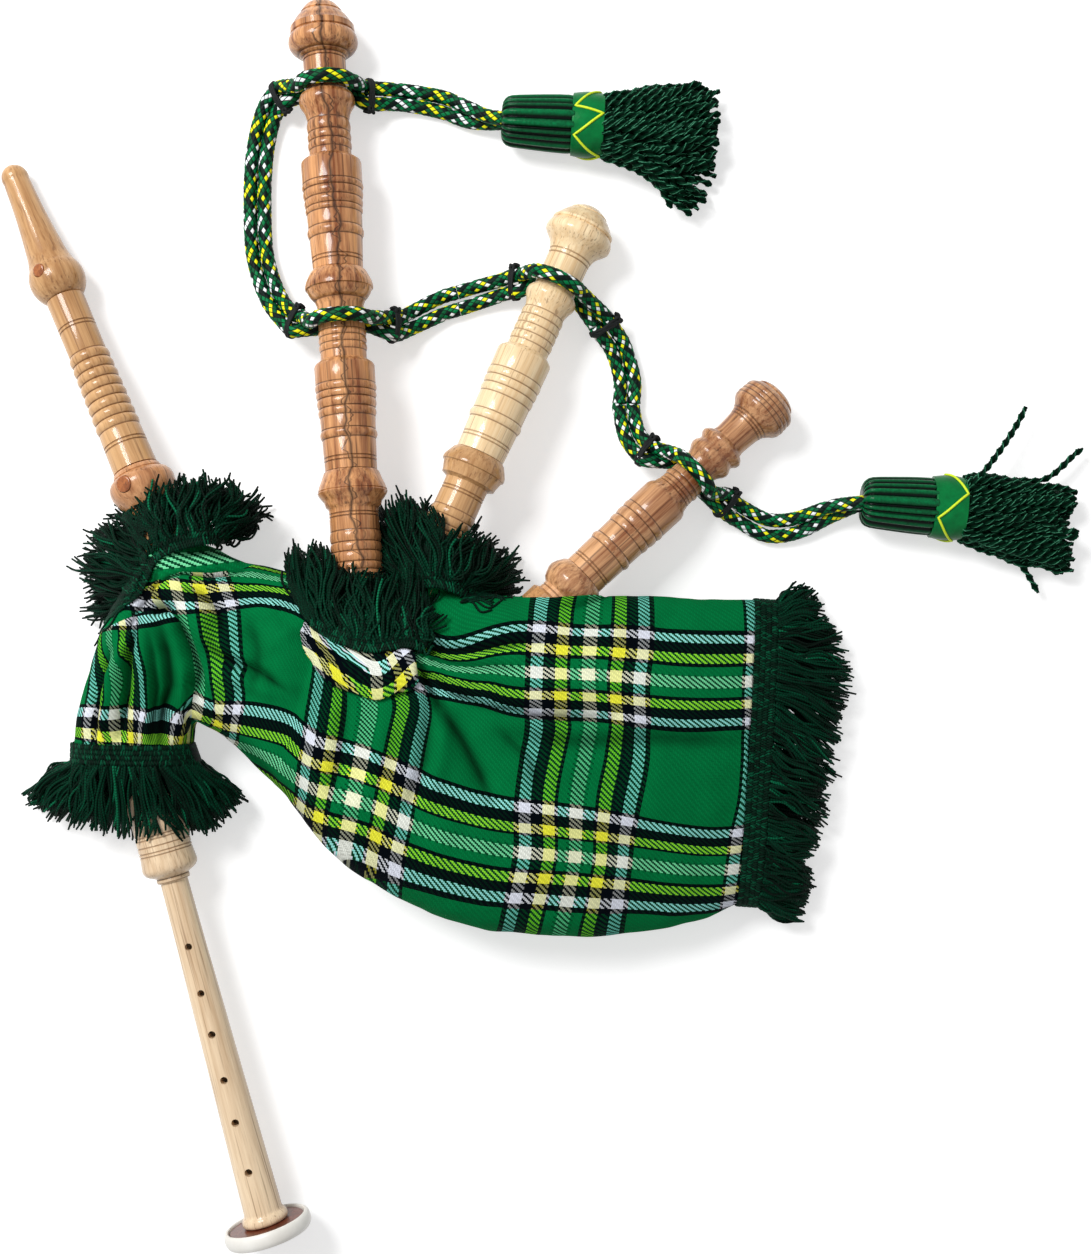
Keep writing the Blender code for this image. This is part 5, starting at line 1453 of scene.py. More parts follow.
def build_cover():
    rows = fine_rows(COVER_ROWS)
    rings = np.array([section_ring(row, 0.0, 0.6) for row in rows])
    flat = unrolled(rings).reshape(-1, 2)
    points, crease_shades = pushed_by_folds(rings, 0.6)
    places, leg_places = thread_places(points, flat)
    faces = grid_faces(len(rows), AROUND)
    points, faces = draped(points, faces, len(rows))
    cover = shell("bag_cover_cloth", points, faces, FINISHES["tartan_cloth"], CLOTH,
                  {"thread_place": places, "leg_place": leg_places,
                   "crease": [(c, c, c) for c in crease_shades]})
    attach(cover, "bag_and_stocks")
    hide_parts("bag_cover")
    print("cover rows:", len(rows), "faces:", len(cover.data.polygons))
    return cover


COVER = build_cover()

# %% The collar of the bass
def build_flap():
    """The folded collar of cloth in front of the bass pipe, laid on the cover."""
    ground = BVHTree.FromObject(COVER, bpy.context.evaluated_depsgraph_get())
    edge = np.array(curve_through([(x, y, 0) for x, y in FLAP_EDGE], 1.5))[:, :2]
    root = np.array(curve_through([(x, y, 0) for x, y in FLAP_ROOT], 1.0))[:, :2]
    root = root[np.round(np.linspace(0, len(root) - 1, len(edge))).astype(int)]
    columns = 28
    points, spots = [], []
    for a, b in zip(root, edge):
        for w in np.linspace(0, 1, columns):
            px = a + (b - a) * w
            x, y, _ = seen_at(px[0], px[1], 60.0)
            hit = ground.ray_cast(Vector((x * MM, y * MM, 0.2)), Vector((0, 0, -1)))[0]
            z = (hit.z / MM if hit else 50.0) + 1.2 + 3.2 * math.sin(math.pi * min(w, 0.97)) ** 0.5
            points.append((*seen_at(px[0], px[1], z)[:2], z))
            spots.append(px)
    spots = np.array(spots)
    flat = spots * UNIT * (1, -1)
    numbers = thread_numbers(spots, flat, np.ones(len(spots), dtype=bool), FLAP_ALONG,
                             FLAP_ACROSS, flat)
    places = np.column_stack((numbers, np.zeros(len(numbers)))).tolist()
    flap = shell("bass_collar_cloth", np.array(points), grid_faces(len(edge), columns, False),
                 FINISHES["tartan_flap"], CLOTH, {"thread_place": places})
    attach(flap, "bag_and_stocks")
    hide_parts("bag_cover")
    return flap


FLAP = build_flap()

# %% [markdown]
# ## The air bag
# Inside the cover lies the bag that holds the air, of sewn leather. It is seldom seen, but
# it keeps its real shape: the cover's sections drawn in by a few millimetres, closed at both
# ends, with a tied opening for each stock.

# %% Air bag
BAG_INSETS = ((0, 6), (2, 8), (4, 18), (5, 3), (6, 3), (7, 3), (8, 3), (9, 3), (10, 3), (11, 3),
              (12, 3), (13, 3), (14, 3))


def build_air_bag():
    rows = []
    for index, inset in BAG_INSETS:
        low, high, tall = COVER_ROWS[index]
        low, high = np.array(low), np.array(high)
        across = (high - low) / np.linalg.norm(high - low)
        push = np.array((-8.0 if index == 0 else 0.0, 0.0))
        rows.append((low + across * 0.15 * inset + push, high - across * inset + push, tall))
    rows = fine_rows(rows, 4.0)
    rings = np.array([section_ring(row, -5.0, 4.2, 96) for row in rows])
    faces = grid_faces(len(rows), 96)
    points, _ = pushed_by_folds(rings, 4.2, True)
    points, faces = opened(points, faces, (
        ("bass", 13.3, 275.0, 345.0), ("tenor_left", 13.3, 170.0, 215.0),
        ("tenor_right", 13.3, 145.0, 200.0), ("blowpipe", 13.3, 180.0, 238.0),
        ("chanter", 13.3, -75.0, 0.0)))
    last = len(points) - 96
    faces.append(tuple(reversed(range(96))))
    faces.append(tuple(range(last, last + 96)))
    bag = shell("air_bag_leather", points, faces, FINISHES["bag_leather"], 1.4)
    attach(bag, "bag_and_stocks")
    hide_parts("air_bag")


build_air_bag()

# %% [markdown]
# ## Fringes
# Each opening of the cover ends in a knitted band with a fringe of loose yarn. Every thread
# is its own thin tube that leaves the band, bends over and ends near the outline that the
# photograph shows. Threads are drawn in layers between a line of roots and a line of tips,
# and a thread that would run through a pipe or the cloth is pushed out to its surface.

# %% Threads
def strands(name, lines, radius, material, shades, sides=5):
    """Many thin tubes in one mesh. Lines is an array: strand, point, coordinate."""
    count, steps, _ = lines.shape
    along = np.gradient(lines, axis=1)
    along /= np.maximum(np.linalg.norm(along, axis=2), 1e-9)[:, :, None]
    hint = np.where(np.abs(along[:, :1, 2:]) > 0.9, (1.0, 0.0, 0.0), (0.0, 0.0, 1.0))
    side = np.cross(along, np.broadcast_to(hint, along.shape))
    side /= np.maximum(np.linalg.norm(side, axis=2), 1e-9)[:, :, None]
    up = np.cross(side, along)
    width = np.full(steps, radius)
    width[-1] = radius * 0.8
    rings = []
    for k in range(sides):
        angle = 2 * math.pi * k / sides
        rings.append(lines + (side * math.cos(angle) + up * math.sin(angle))
                     * width[None, :, None])
    points = np.stack(rings, axis=2).reshape(-1, 3)
    points[:, 2] = np.maximum(points[:, 2], 0.3)
    faces = []
    for i in range(count):
        start = i * steps * sides
        faces += grid_faces(steps, sides, True, start)
        faces.append(tuple(start + k for k in reversed(range(sides))))
        end = start + (steps - 1) * sides
        faces.append(tuple(end + k for k in range(sides)))
    obj = add_mesh(name, points.tolist(), faces, material)
    travelled = np.concatenate((np.zeros((count, 1)), np.cumsum(
        np.linalg.norm(np.diff(lines, axis=1), axis=2), axis=1)), axis=1)
    places = np.zeros((count, steps, sides, 3))
    places[..., 0] = shades[:, None, None]
    places[..., 1] = travelled[:, :, None]
    places[..., 2] = (np.arange(sides) / sides)[None, None, :]
    set_attribute(obj, "strand_place", places.reshape(-1, 3).tolist())
    return obj


def between_stations(stations, t):
    """Root and tip at share t of a row of (root, tip) stations."""
    spot = t * (len(stations) - 1)
    i = min(int(spot), len(stations) - 2)
    f = spot - i
    return [np.array(a) * (1 - f) + np.array(b) * f
            for a, b in zip(stations[i], stations[i + 1])]


def pushed_out(lines, pipe, radius, first):
    """Moves the points that lie inside a pipe out to its surface."""
    if pipe is None:
        return lines
    matrix = np.array(axis_matrix(pipe))
    back = np.linalg.inv(matrix)
    flat = np.column_stack((lines.reshape(-1, 3) * MM, np.ones(lines.shape[0] * lines.shape[1])))
    local = (flat @ back.T)[:, :3] / MM
    far = np.hypot(local[:, 0], local[:, 1])
    inside = (far < radius) & (local[:, 2] > first)
    grow = np.where(inside, radius / np.maximum(far, 0.5), 1.0)
    local[:, :2] *= grow[:, None]
    world = (np.column_stack((local * MM, np.ones(len(local)))) @ matrix.T)[:, :3] / MM
    return world.reshape(lines.shape)


def lifted(lines, ground, clear=0.7):
    """Raises the points that lie just under the top of the cloth."""
    for line in lines:
        for point in line:
            hit = ground.ray_cast(Vector((point[0] * MM, point[1] * MM, 0.2)), Vector((0, 0, -1)))
            if hit[0] is not None and point[2] < hit[0].z / MM + clear:
                point[2] = hit[0].z / MM + clear
    return lines


def fringe_lines(seed, stations, count, look):
    """Threads from roots to tips: each rises from the band, bends over and waves a little."""
    rng = np.random.default_rng(seed)
    lines = []
    steps = 12
    clumps = rng.normal(0.0, look["clump"], (count // 6 + 2, 3)) * (1, 1, 0.4)
    waves = rng.uniform(0.4, 1.2, count // 6 + 2)
    phases = rng.uniform(0, 2 * math.pi, count // 6 + 2)
    for i in range(count):
        t = min(max((i + rng.uniform(-0.5, 1.5)) / count, 0.0), 1.0)
        root, tip = between_stations(stations, t)
        tip = root + (tip - root) * (0.97 - look["short"] * rng.random() ** 2)
        tip = tip + clumps[i // 6] + rng.normal(0.0, look["shift"], 3) * (1, 1, 0.5)
        root = root + rng.normal(0.0, 0.5, 3)
        rise = root + (tip - root) * 0.4 + np.array((0, 0, look["lift"] * rng.uniform(0.2, 1.0)))
        w = np.linspace(0, 1, steps)[:, None]
        line = root * (1 - w) ** 2 + 2 * rise * w * (1 - w) + tip * w ** 2
        along = (tip - root) / max(np.linalg.norm(tip - root), 1e-6)
        aside = np.cross(along, (0, 0, 1.0))
        sway = look["wander"] * rng.uniform(0.6, 1.2) * np.sin(
            2 * math.pi * waves[i // 6] * w + phases[i // 6] + rng.normal(0, 0.35))
        line = line + aside * (sway - sway[0]) * w ** 0.5
        line[:, 2] = np.maximum(line[:, 2], 0.9 + 0.5 * rng.random())
        lines.append(line)
    return np.array(lines), rng.random(count)


def yarn(name, dark, light, highlight_above=0.8):
    material, r, shader = new_material(name)
    place = r.add("ShaderNodeAttribute", None, "Vector", attribute_name="strand_place")
    split = r.add("ShaderNodeSeparateXYZ", {0: place}, None)
    # painted highlight: strands with the highest numbers take the light colour, standing for threads lit
    # along their tops
    pale = r.math("MULTIPLY", r.math("SUBTRACT", split.outputs[0], highlight_above), 5.0, True)
    twist = r.math("ADD", r.math("MULTIPLY", split.outputs[1], 0.7), split.outputs[2])
    ply = r.math("PINGPONG", r.math("MULTIPLY", twist, 2.0), 1.0)
    colour = r.mix(pale, paint(*dark), paint(*light))
    # painted light and shade: each strand's number sets its brightness, and a light and dark band winds
    # round it with the twist
    own = r.math("ADD", 0.12, r.math("MULTIPLY", split.outputs[0], 1.25))
    shade = r.math("MULTIPLY", own, r.math("ADD", 0.4, r.math("MULTIPLY", ply, 0.9)))
    r.join(r.mix(1.0, colour, shade, "MULTIPLY"), shader.inputs["Base Color"])
    r.join(r.add("ShaderNodeBump", {"Height": ply, "Strength": 0.5, "Distance": 0.0003},
                 "Normal"), shader.inputs["Normal"])
    shader.inputs["Roughness"].default_value = 0.6
    shader.inputs["Specular IOR Level"].default_value = 0.06
    return material


FINISHES["fringe_yarn"] = yarn("fringe_yarn", (0, 46, 29), (14, 112, 74), 0.9)

# %% Knitted bands
def knit_band(name, line, edge, rows, material):
    """Rows of small stitches on a strip between a line and its edge, both closed or open."""
    line, edge = np.array(line), np.array(edge)
    points, faces, places = [], [], []
    steps = np.linalg.norm(np.diff(line, axis=0), axis=1)
    total = steps.sum()
    start = np.concatenate(([0.0], np.cumsum(steps)))
    rng = np.random.default_rng(len(line))

    def spot(at, share):
        i = min(int(np.searchsorted(start, at, side="right")) - 1, len(steps) - 1)
        f = (at - start[i]) / max(steps[i], 1e-6)
        a = line[i] * (1 - f) + line[i + 1] * f
        b = edge[i] * (1 - f) + edge[i + 1] * f
        along = (line[i + 1] - line[i]) / max(steps[i], 1e-6)
        out = np.cross(along, b - a)
        out /= max(np.linalg.norm(out), 1e-6)
        if out[2] < -0.3 and a[2] > 12.0:
            out = -out
        return a + (b - a) * share, along, (b - a) / max(np.linalg.norm(b - a), 1e-6), out

    count = int(total / 1.25)
    for j in range(rows):
        for i in range(count):
            for lean in (-0.5, 0.5):
                at = (i + 0.5 + 0.24 * lean * 2) * total / count
                centre, along, across, out = spot(at, (j + 0.5) / rows)
                direction = across + along * lean * 0.9
                direction /= np.linalg.norm(direction)
                side = np.cross(direction, out)
                reach = 0.62 * np.linalg.norm(spot(at, 1.0)[0] - spot(at, 0.0)[0]) / rows
                shade = rng.choice((0.1, 0.25, 0.4, 0.93))
                first = len(points)
                for w, wide in ((-1.0, 0.25), (-0.5, 0.58), (0.5, 0.58), (1.0, 0.25)):
                    for k in range(6):
                        angle = 2 * math.pi * k / 6
                        points.append(centre + out * 0.5 + direction * reach * w
                                      + side * wide * math.cos(angle)
                                      + out * wide * math.sin(angle))
                        places.append((shade, at, k / 6))
                faces += grid_faces(4, 6, True, first)
                faces.append(tuple(first + k for k in reversed(range(6))))
                faces.append(tuple(first + 18 + k for k in range(6)))
    first = len(points)
    for a, b in zip(line, edge):
        for share in np.linspace(0, 1, 4):
            points.append(a + (b - a) * share)
            places.append((0.1, 0.0, 0.0))
    faces += grid_faces(len(line), 4, False, first)
    obj = add_mesh(name, [tuple(p) for p in points], faces, material)
    for vertex in obj.data.vertices:
        vertex.co.z = max(vertex.co.z, 0.3 * MM)
    set_attribute(obj, "strand_place", places)
    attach(obj, "bag_and_stocks")
    return obj


# %% Rows of roots and tips
def photo_stations(rows):
    return [(np.array(seen_at(*root)), np.array(seen_at(*tip))) for root, tip in rows]


RUFFS = {
    "blowpipe_fringe": ("blowpipe", (
        ((218, 549, 30), (226, 532, 12)), ((219, 547, 34), (248, 520, 16)),
        ((217, 545, 40), (249, 508, 26)), ((213, 544, 43), (236, 493, 36)),
        ((204, 545, 46), (219, 483, 42)), ((193, 547, 47), (201, 478, 42)),
        ((182, 550, 47), (184, 478, 42)), ((172, 553, 47), (162, 488, 42)),
        ((164, 557, 46), (139, 497, 38)),
        ((159, 561, 44), (120, 509, 28)), ((155, 568, 42), (104, 525, 18)),
        ((152, 576, 40), (90, 544, 13)), ((150, 583, 38), (81, 559, 11)),
        ((148, 590, 36), (88, 576, 10)), ((146, 595, 34), (91, 594, 9)),
        ((144, 599, 30), (96, 613, 7)), ((141, 603, 26), (106, 626, 5)),
    )),
    "bass_fringe": ("bass", (
        ((314, 628, 52), (291, 562, 24)), ((316, 634, 55), (293, 549, 28)),
        ((322, 638, 58), (306, 548, 32)), ((330, 641, 60), (324, 553, 38)),
        ((340, 644, 62), (334, 570, 46)), ((350, 648, 63), (346, 573, 50)),
        ((360, 651, 64), (357, 577, 51)), ((371, 653, 64), (368, 579, 52)),
        ((382, 652, 64), (380, 577, 51)), ((392, 650, 64), (392, 572, 50)),
        ((402, 648, 63), (405, 573, 48)), ((410, 648, 63), (416, 580, 50)),
        ((415, 649, 63), (424, 600, 54)), ((418, 651, 63), (433, 619, 58)),
        ((417, 655, 62), (432, 640, 60)),
    )),
    "tenor_left_fringe": ("tenor_left", (
        ((408, 600, 44), (390, 570, 30)), ((408, 596, 46), (384, 532, 26)),
        ((412, 593, 48), (384, 509, 26)), ((419, 590, 50), (394, 499, 30)),
        ((428, 588, 51), (408, 500, 38)), ((437, 588, 51), (422, 512, 44)),
        ((445, 590, 50), (442, 526, 46)), ((451, 592, 49), (463, 534, 44)),
        ((456, 594, 48), (479, 539, 38)), ((460, 596, 46), (492, 546, 30)),
        ((462, 595, 44), (506, 554, 24)), ((464, 598, 42), (513, 567, 20)),
        ((464, 601, 40), (512, 580, 18)), ((461, 604, 40), (500, 592, 18)),
    )),
}
REAR_TIPS = ((806, 592), (828, 618), (847, 654), (850, 697), (840, 730), (832, 760), (828, 790),
             (825, 816), (819, 836), (808, 862), (808, 880), (807, 894), (798, 913))
CHANTER_TIPS = ((30, 800), (48, 812), (70, 822), (95, 830), (120, 834), (150, 838), (180, 836),
                (205, 832), (222, 822), (236, 806))
LOOKS = {
    "ruff": {"clump": 2.8, "short": 0.34, "shift": 2.0, "lift": 6.5, "wander": 3.6},
    "skirt": {"clump": 1.8, "short": 0.34, "shift": 1.2, "lift": 2.5, "wander": 2.8},
}


def lowered(stations, share, drop):
    """The same threads one layer down: roots nearer the pipe and everything lower."""
    low = []
    for root, tip in stations:
        base = root + (tip - root) * share
        base = np.array((base[0], base[1], max(root[2] - drop, 3.0)))
        low.append((base, np.array((tip[0], tip[1], max(tip[2] - drop, 1.5)))))
    return low


def mouth_stations(row, tips, droop, count=64):
    """Roots round a section, each with the tip that lies beyond it on the outline."""
    ring = section_ring(np.array((*row[0], *row[1], row[2])), 0.0, 1.2, count)
    tips = np.array(tips, dtype=float)
    stations = []
    for k in list(range(count)) + [0]:
        share = 0.5 - 0.5 * math.cos(2 * math.pi * k / count)
        at = share * (len(tips) - 1)
        i = min(int(at), len(tips) - 2)
        px = tips[i] + (tips[i + 1] - tips[i]) * (at - i)
        z = 1.5 + ring[k, 2] * droop
        stations.append((ring[k], np.array(seen_at(px[0], px[1], z))))
    return stations


def add_fringe(name, parts, seed, look, pipe, wide, first, ground=None, header=0.0):
    lines, shades = [], []
    for i, (stations, count, top) in enumerate(parts):
        stations = [(root + (tip - root) * min(header / np.linalg.norm(tip - root), 0.5), tip)
                    for root, tip in stations]
        made, shade = fringe_lines(seed + i, stations, count, LOOKS[look])
        made = pushed_out(made, pipe, wide, first)
        if top and ground:
            made = lifted(made, ground)
        lines.append(made)
        # painted shade: lower layers of threads are darker, as they lie in the shade of the top layer
        shades.append(shade * (1.0 if i == 0 else 0.62 if top else 0.3))
    fringe = strands(name + "_threads", np.concatenate(lines), 0.6, FINISHES["fringe_yarn"],
                     np.concatenate(shades))
    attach(fringe, "bag_and_stocks")
    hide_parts(name)
    print(name, "has", sum(len(part) for part in lines), "threads")
    return fringe


def build_fringes():
    ground = BVHTree.FromObject(COVER, bpy.context.evaluated_depsgraph_get())
    made = []
    for i, (name, (pipe, rows)) in enumerate(RUFFS.items()):
        stations = photo_stations(rows)
        first = {"blowpipe": 187.0, "bass": 262.0, "tenor_left": 158.0}[pipe]
        made.append(add_fringe(name, (
            (stations, 190, True), (lowered(stations, 0.1, 2.0), 260, True),
            (lowered(stations, 0.22, 9.0), 260, False), (lowered(stations, 0.35, 18.0), 200, False),
            (lowered(stations, 0.5, 28.0), 140, False),
        ), 100 + 10 * i, "ruff", pipe, 14.3, first, ground, 6.0 if i == 0 else 5.5))
        line = [root for root, _ in stations]
        edge = [root + (tip - root) / np.linalg.norm(tip - root) * 8.5 for root, tip in stations]
        line = lifted([np.array(line)], ground, 0.8)[0]
        edge = lifted([np.array(edge)], ground, 0.8)[0]
        band = knit_band(name + "_header", line, edge, 2, FINISHES["fringe_yarn"])
        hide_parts(name)
        made.append(band)
    cover_end = ((-111.0, -59.0), (-168.5, -58.0), 42)
    root = ((-107.5, -68.5), (-168.8, -67.5), 42)
    stations = mouth_stations(root, CHANTER_TIPS, 0.65)
    made.append(add_fringe("chanter_fringe", ((stations, 760, True), (
        mouth_stations(((-112.0, -70.0), (-164.0, -69.0), 34), CHANTER_TIPS, 0.35), 380, False)),
        200, "skirt", "chanter", 14.6, -90.0))
    made.append(mouth_band("chanter_fringe", cover_end, root, 4))
    cover_end = ((154.5, -137.7), (163.5, 10.8), 34)
    root = ((165.0, -138.6), (174.5, 10.0), 32)
    made.append(add_fringe("rear_fringe", ((
        mouth_stations(root, REAR_TIPS, 0.5), 1100, True), (
        mouth_stations(((165.0, -136.0), (174.5, 7.0), 20), REAR_TIPS, 0.3), 500, False)),
        300, "skirt", None, 0.0, 0.0))
    made.append(mouth_band("rear_fringe", cover_end, root, 4))
    return made


def mouth_band(name, inner, outer, rows):
    rings = []
    for row in (inner, outer):
        ring = section_ring(np.array((*row[0], *row[1], row[2])), 0.4, 1.0, 96)
        rings.append(np.vstack((ring, ring[:1])))
    band = knit_band(name + "_header", rings[0], rings[1], rows, FINISHES["fringe_yarn"])
    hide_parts(name)
    return band


FRINGES = build_fringes()

# %% [markdown]
# ## Tassels
# Each end of the cord carries a tassel: a head of cords laid side by side over a wooden
# core, a satin band with a zigzag of yellow thread, and a skirt of short twisted cords.

# %% Tassel frame
TASSELS = {1: ((41.3, 246.8, 14.0), (146.6, 240.9, 14.0)),
           2: ((217.9, 59.4, 14.0), (326.7, 51.5, 14.0))}


def tassel_place(number):
    """Local Z runs from the cord to the skirt's end, and local Y points up."""
    root, end = (Vector(p) for p in TASSELS[number])
    along = (end - root).normalized()
    up = Vector((0, 0, 1))
    side = up.cross(along)
    turn = Matrix((side, up, along)).transposed()
    return Matrix.Translation(root * MM) @ turn.to_4x4()


# %% Heads and bands
HEAD_RIBS = 19


def tassel_head(number):
    points, dark = [], []
    sides = HEAD_RIBS * 10
    uneven_sheen = np.random.default_rng(420 + number).uniform(0.0, 0.5, HEAD_RIBS + 1)
    rows = [(-1.6, 7.0), (-1.2, 9.0), (-0.3, 10.6), (1.0, 11.8), (3.2, 12.5), (7.0, 12.9),
            (14.0, 13.4), (20.0, 13.8), (26.0, 14.1), (31.0, 14.2), (34.0, 13.8), (35.0, 12.6)]
    for at, radius in rows:
        for k in range(sides):
            angle = 2 * math.pi * k / sides
            turn = HEAD_RIBS * (angle + 0.06 * math.sin(5 * angle + number)) / (2 * math.pi)
            rib = abs(math.sin(math.pi * turn)) ** 0.7
            wide = radius - 2.0 + 2.0 * rib
            points.append((wide * math.cos(angle), wide * math.sin(angle), at))
            # painted shade in the valleys between ribs, plus a random darkening per rib painted in for the
            # satin's uneven sheen
            dark.append(min(1.0, 1.7 * max(0.0, 1.0 - rib) + uneven_sheen[int(turn) % HEAD_RIBS]))
    faces = grid_faces(len(rows), sides)
    faces.append(tuple(reversed(range(sides))))
    faces.append(tuple(range(len(points) - sides, len(points))))
    head = add_mesh("tassel_{}_head_ribs".format(number), points, faces,
                    FINISHES["tassel_thread"], tassel_place(number))
    set_attribute(head, "groove", dark, "FLOAT")
    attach(head, TASSEL_BODY[number])
    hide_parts("tassel_{}_head".format(number))


def tassel_band(number):
    points, dark = [], []
    sides = 96
    rows = [(32.8, 13.2), (33.0, 14.5)]
    for i in range(40):
        at = 33.6 + 14.6 * i / 39
        rows.append((at, 14.4 + 0.8 * math.sin(math.pi * i / 39) + (0.12 if i % 2 else 0.0)))
    rows += [(48.5, 14.4), (48.7, 13.2)]
    for at, radius in rows:
        for k in range(sides):
            angle = 2 * math.pi * k / sides
            y = radius * math.sin(angle) * 0.92
            points.append((radius * 1.05 * math.cos(angle), max(y, -13.6), at))
            # painted sheen and shade: the band is brightest on top and darkens towards its sides and
            # underside
            dark.append(0.42 * (1.0 - math.sin(angle)) ** 0.8)
    faces = grid_faces(len(rows), sides)
    faces.append(tuple(reversed(range(sides))))
    faces.append(tuple(range(len(points) - sides, len(points))))
    band = add_mesh("tassel_{}_band_satin".format(number), points, faces,
                    FINISHES["satin_band"], tassel_place(number))
    set_attribute(band, "groove", dark, "FLOAT")
    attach(band, TASSEL_BODY[number])
    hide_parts("tassel_{}_band".format(number))


# Turns round the band in degrees and places along it, as the yellow thread zigzags
ZIGZAG = {
    1: ((-76, 46.0), (-21, 34.2), (-9, 48.0), (32, 34.2), (84, 47.5), (128, 34.2), (170, 47.5),
        (214, 34.2), (250, 47.5), (284, 46.0)),
    2: ((-90, 38.6), (-25, 48.0), (23, 34.2), (85, 44.0), (128, 34.2), (170, 47.5),
        (214, 34.2), (250, 47.5), (270, 38.6)),
}


def tassel_zigzag(number):
    line = []
    for (turn_a, at_a), (turn_b, at_b) in zip(ZIGZAG[number], ZIGZAG[number][1:]):
        for w in np.linspace(0, 1, 12, endpoint=False):
            turn = math.radians(turn_a + (turn_b - turn_a) * w)
            at = at_a + (at_b - at_a) * w
            radius = 14.7 + 0.8 * math.sin(math.pi * (at - 33.6) / 14.6)
            spot = tassel_place(number) @ Vector((
                -radius * 1.05 * math.sin(turn) * MM,
                max(radius * 0.92 * math.cos(turn), -13.4) * MM, at * MM))
            line.append(tuple(spot / MM))
    thread = strands("tassel_{}_zigzag_thread".format(number), np.array([line]), 0.62,
                     FINISHES["zigzag_thread"], np.array([0.5]), 8)
    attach(thread, TASSEL_BODY[number])
    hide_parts("tassel_{}_band".format(number))


TASSEL_BODY = {1: "bass_top", 2: "tenor_right_top"}

# %% Skirts
def cord_bundle(name, lines, radius, pitch, material, shades):
    """Two-ply cords: an oval that turns as it goes along."""
    count, steps, _ = lines.shape
    sides = 8
    along = np.gradient(lines, axis=1)
    along /= np.maximum(np.linalg.norm(along, axis=2), 1e-9)[:, :, None]
    side = np.cross(along, np.broadcast_to((0.0, 0.0, 1.0), along.shape))
    side /= np.maximum(np.linalg.norm(side, axis=2), 1e-9)[:, :, None]
    up = np.cross(side, along)
    travelled = np.concatenate((np.zeros((count, 1)), np.cumsum(
        np.linalg.norm(np.diff(lines, axis=1), axis=2), axis=1)), axis=1)
    turn = 2 * np.pi * (travelled / pitch + 3.0 * shades[:, None])
    ends = np.ones(steps)
    ends[0], ends[-1], ends[-2] = 0.7, 0.6, 0.95
    points = np.zeros((count, steps, sides, 3))
    for k in range(sides):
        angle = 2 * np.pi * k / sides
        x = radius * (0.62 + 0.38 * abs(math.cos(angle))) * math.cos(angle)
        y = 0.62 * radius * math.sin(angle)
        a = (x * np.cos(turn) - y * np.sin(turn)) * ends
        b = (x * np.sin(turn) + y * np.cos(turn)) * ends
        points[:, :, k] = lines + side * a[..., None] + up * b[..., None]
    points = points.reshape(-1, 3)
    points[:, 2] = np.maximum(points[:, 2], 0.3)
    faces = []
    for i in range(count):
        start = i * steps * sides
        faces += grid_faces(steps, sides, True, start)
        faces.append(tuple(start + k for k in reversed(range(sides))))
        end = start + (steps - 1) * sides
        faces.append(tuple(end + k for k in range(sides)))
    obj = add_mesh(name, points.tolist(), faces, material)
    places = np.zeros((count, steps, sides, 3))
    places[..., 0] = shades[:, None, None]
    places[..., 1] = travelled[:, :, None]
    # third value: 1 on the crest of a ply, 0 in the valley between the plies, for the finish's painted
    # light and shade
    places[..., 2] = (0.5 + 0.5 * np.cos(4 * np.pi * np.arange(sides) / sides))[None, None, :]
    set_attribute(obj, "strand_place", places.reshape(-1, 3).tolist())
    return obj


def twisted_finish():
    """Two dark green plies, with painted shade in the valley between them and a painted highlight in
    streaks along each crest.
    """
    material, r, shader = new_material("skirt_cord")
    place = r.add("ShaderNodeAttribute", None, "Vector", attribute_name="strand_place")
    split = r.add("ShaderNodeSeparateXYZ", {0: place}, None)
    crest = split.outputs[2]
    run = r.math("ADD", split.outputs[1], r.math("MULTIPLY", split.outputs[0], 400.0))
    speck = r.math("PINGPONG", r.math("DIVIDE", run, 3.3), 1.0)
    # painted highlight along the crest of each ply, broken into streaks
    glint = r.math("MULTIPLY", r.math("SUBTRACT", crest, 0.8), 6.0, True)
    glint = r.math("MULTIPLY", glint, r.math("ADD", 0.2, r.math("MULTIPLY", speck, 0.8)), True)
    # painted shade towards the valley between the plies
    colour = r.mix(crest, paint(0, 4, 2), paint(0, 50, 29))
    r.join(r.mix(glint, colour, paint(104, 190, 150)), shader.inputs["Base Color"])
    shader.inputs["Roughness"].default_value = 0.55
    shader.inputs["Specular IOR Level"].default_value = 0.03
    return material


FINISHES["skirt_cord"] = twisted_finish()


# Cords of the second tassel that lie apart: side at the band, side at the end, place
LONG_STRAYS = ((11.0, 56.0, 76.0), (9.0, 31.0, 107.0), (-10.0, -37.0, 90.0))


# Each skirt's width at its end as a share of the width at the band, how far its end drifts
# sideways in mm, and how far it bulges just behind the band
SKIRT_LOOKS = {1: (1.75, 0.0, 0.12), 2: (1.45, -7.0, 0.24)}


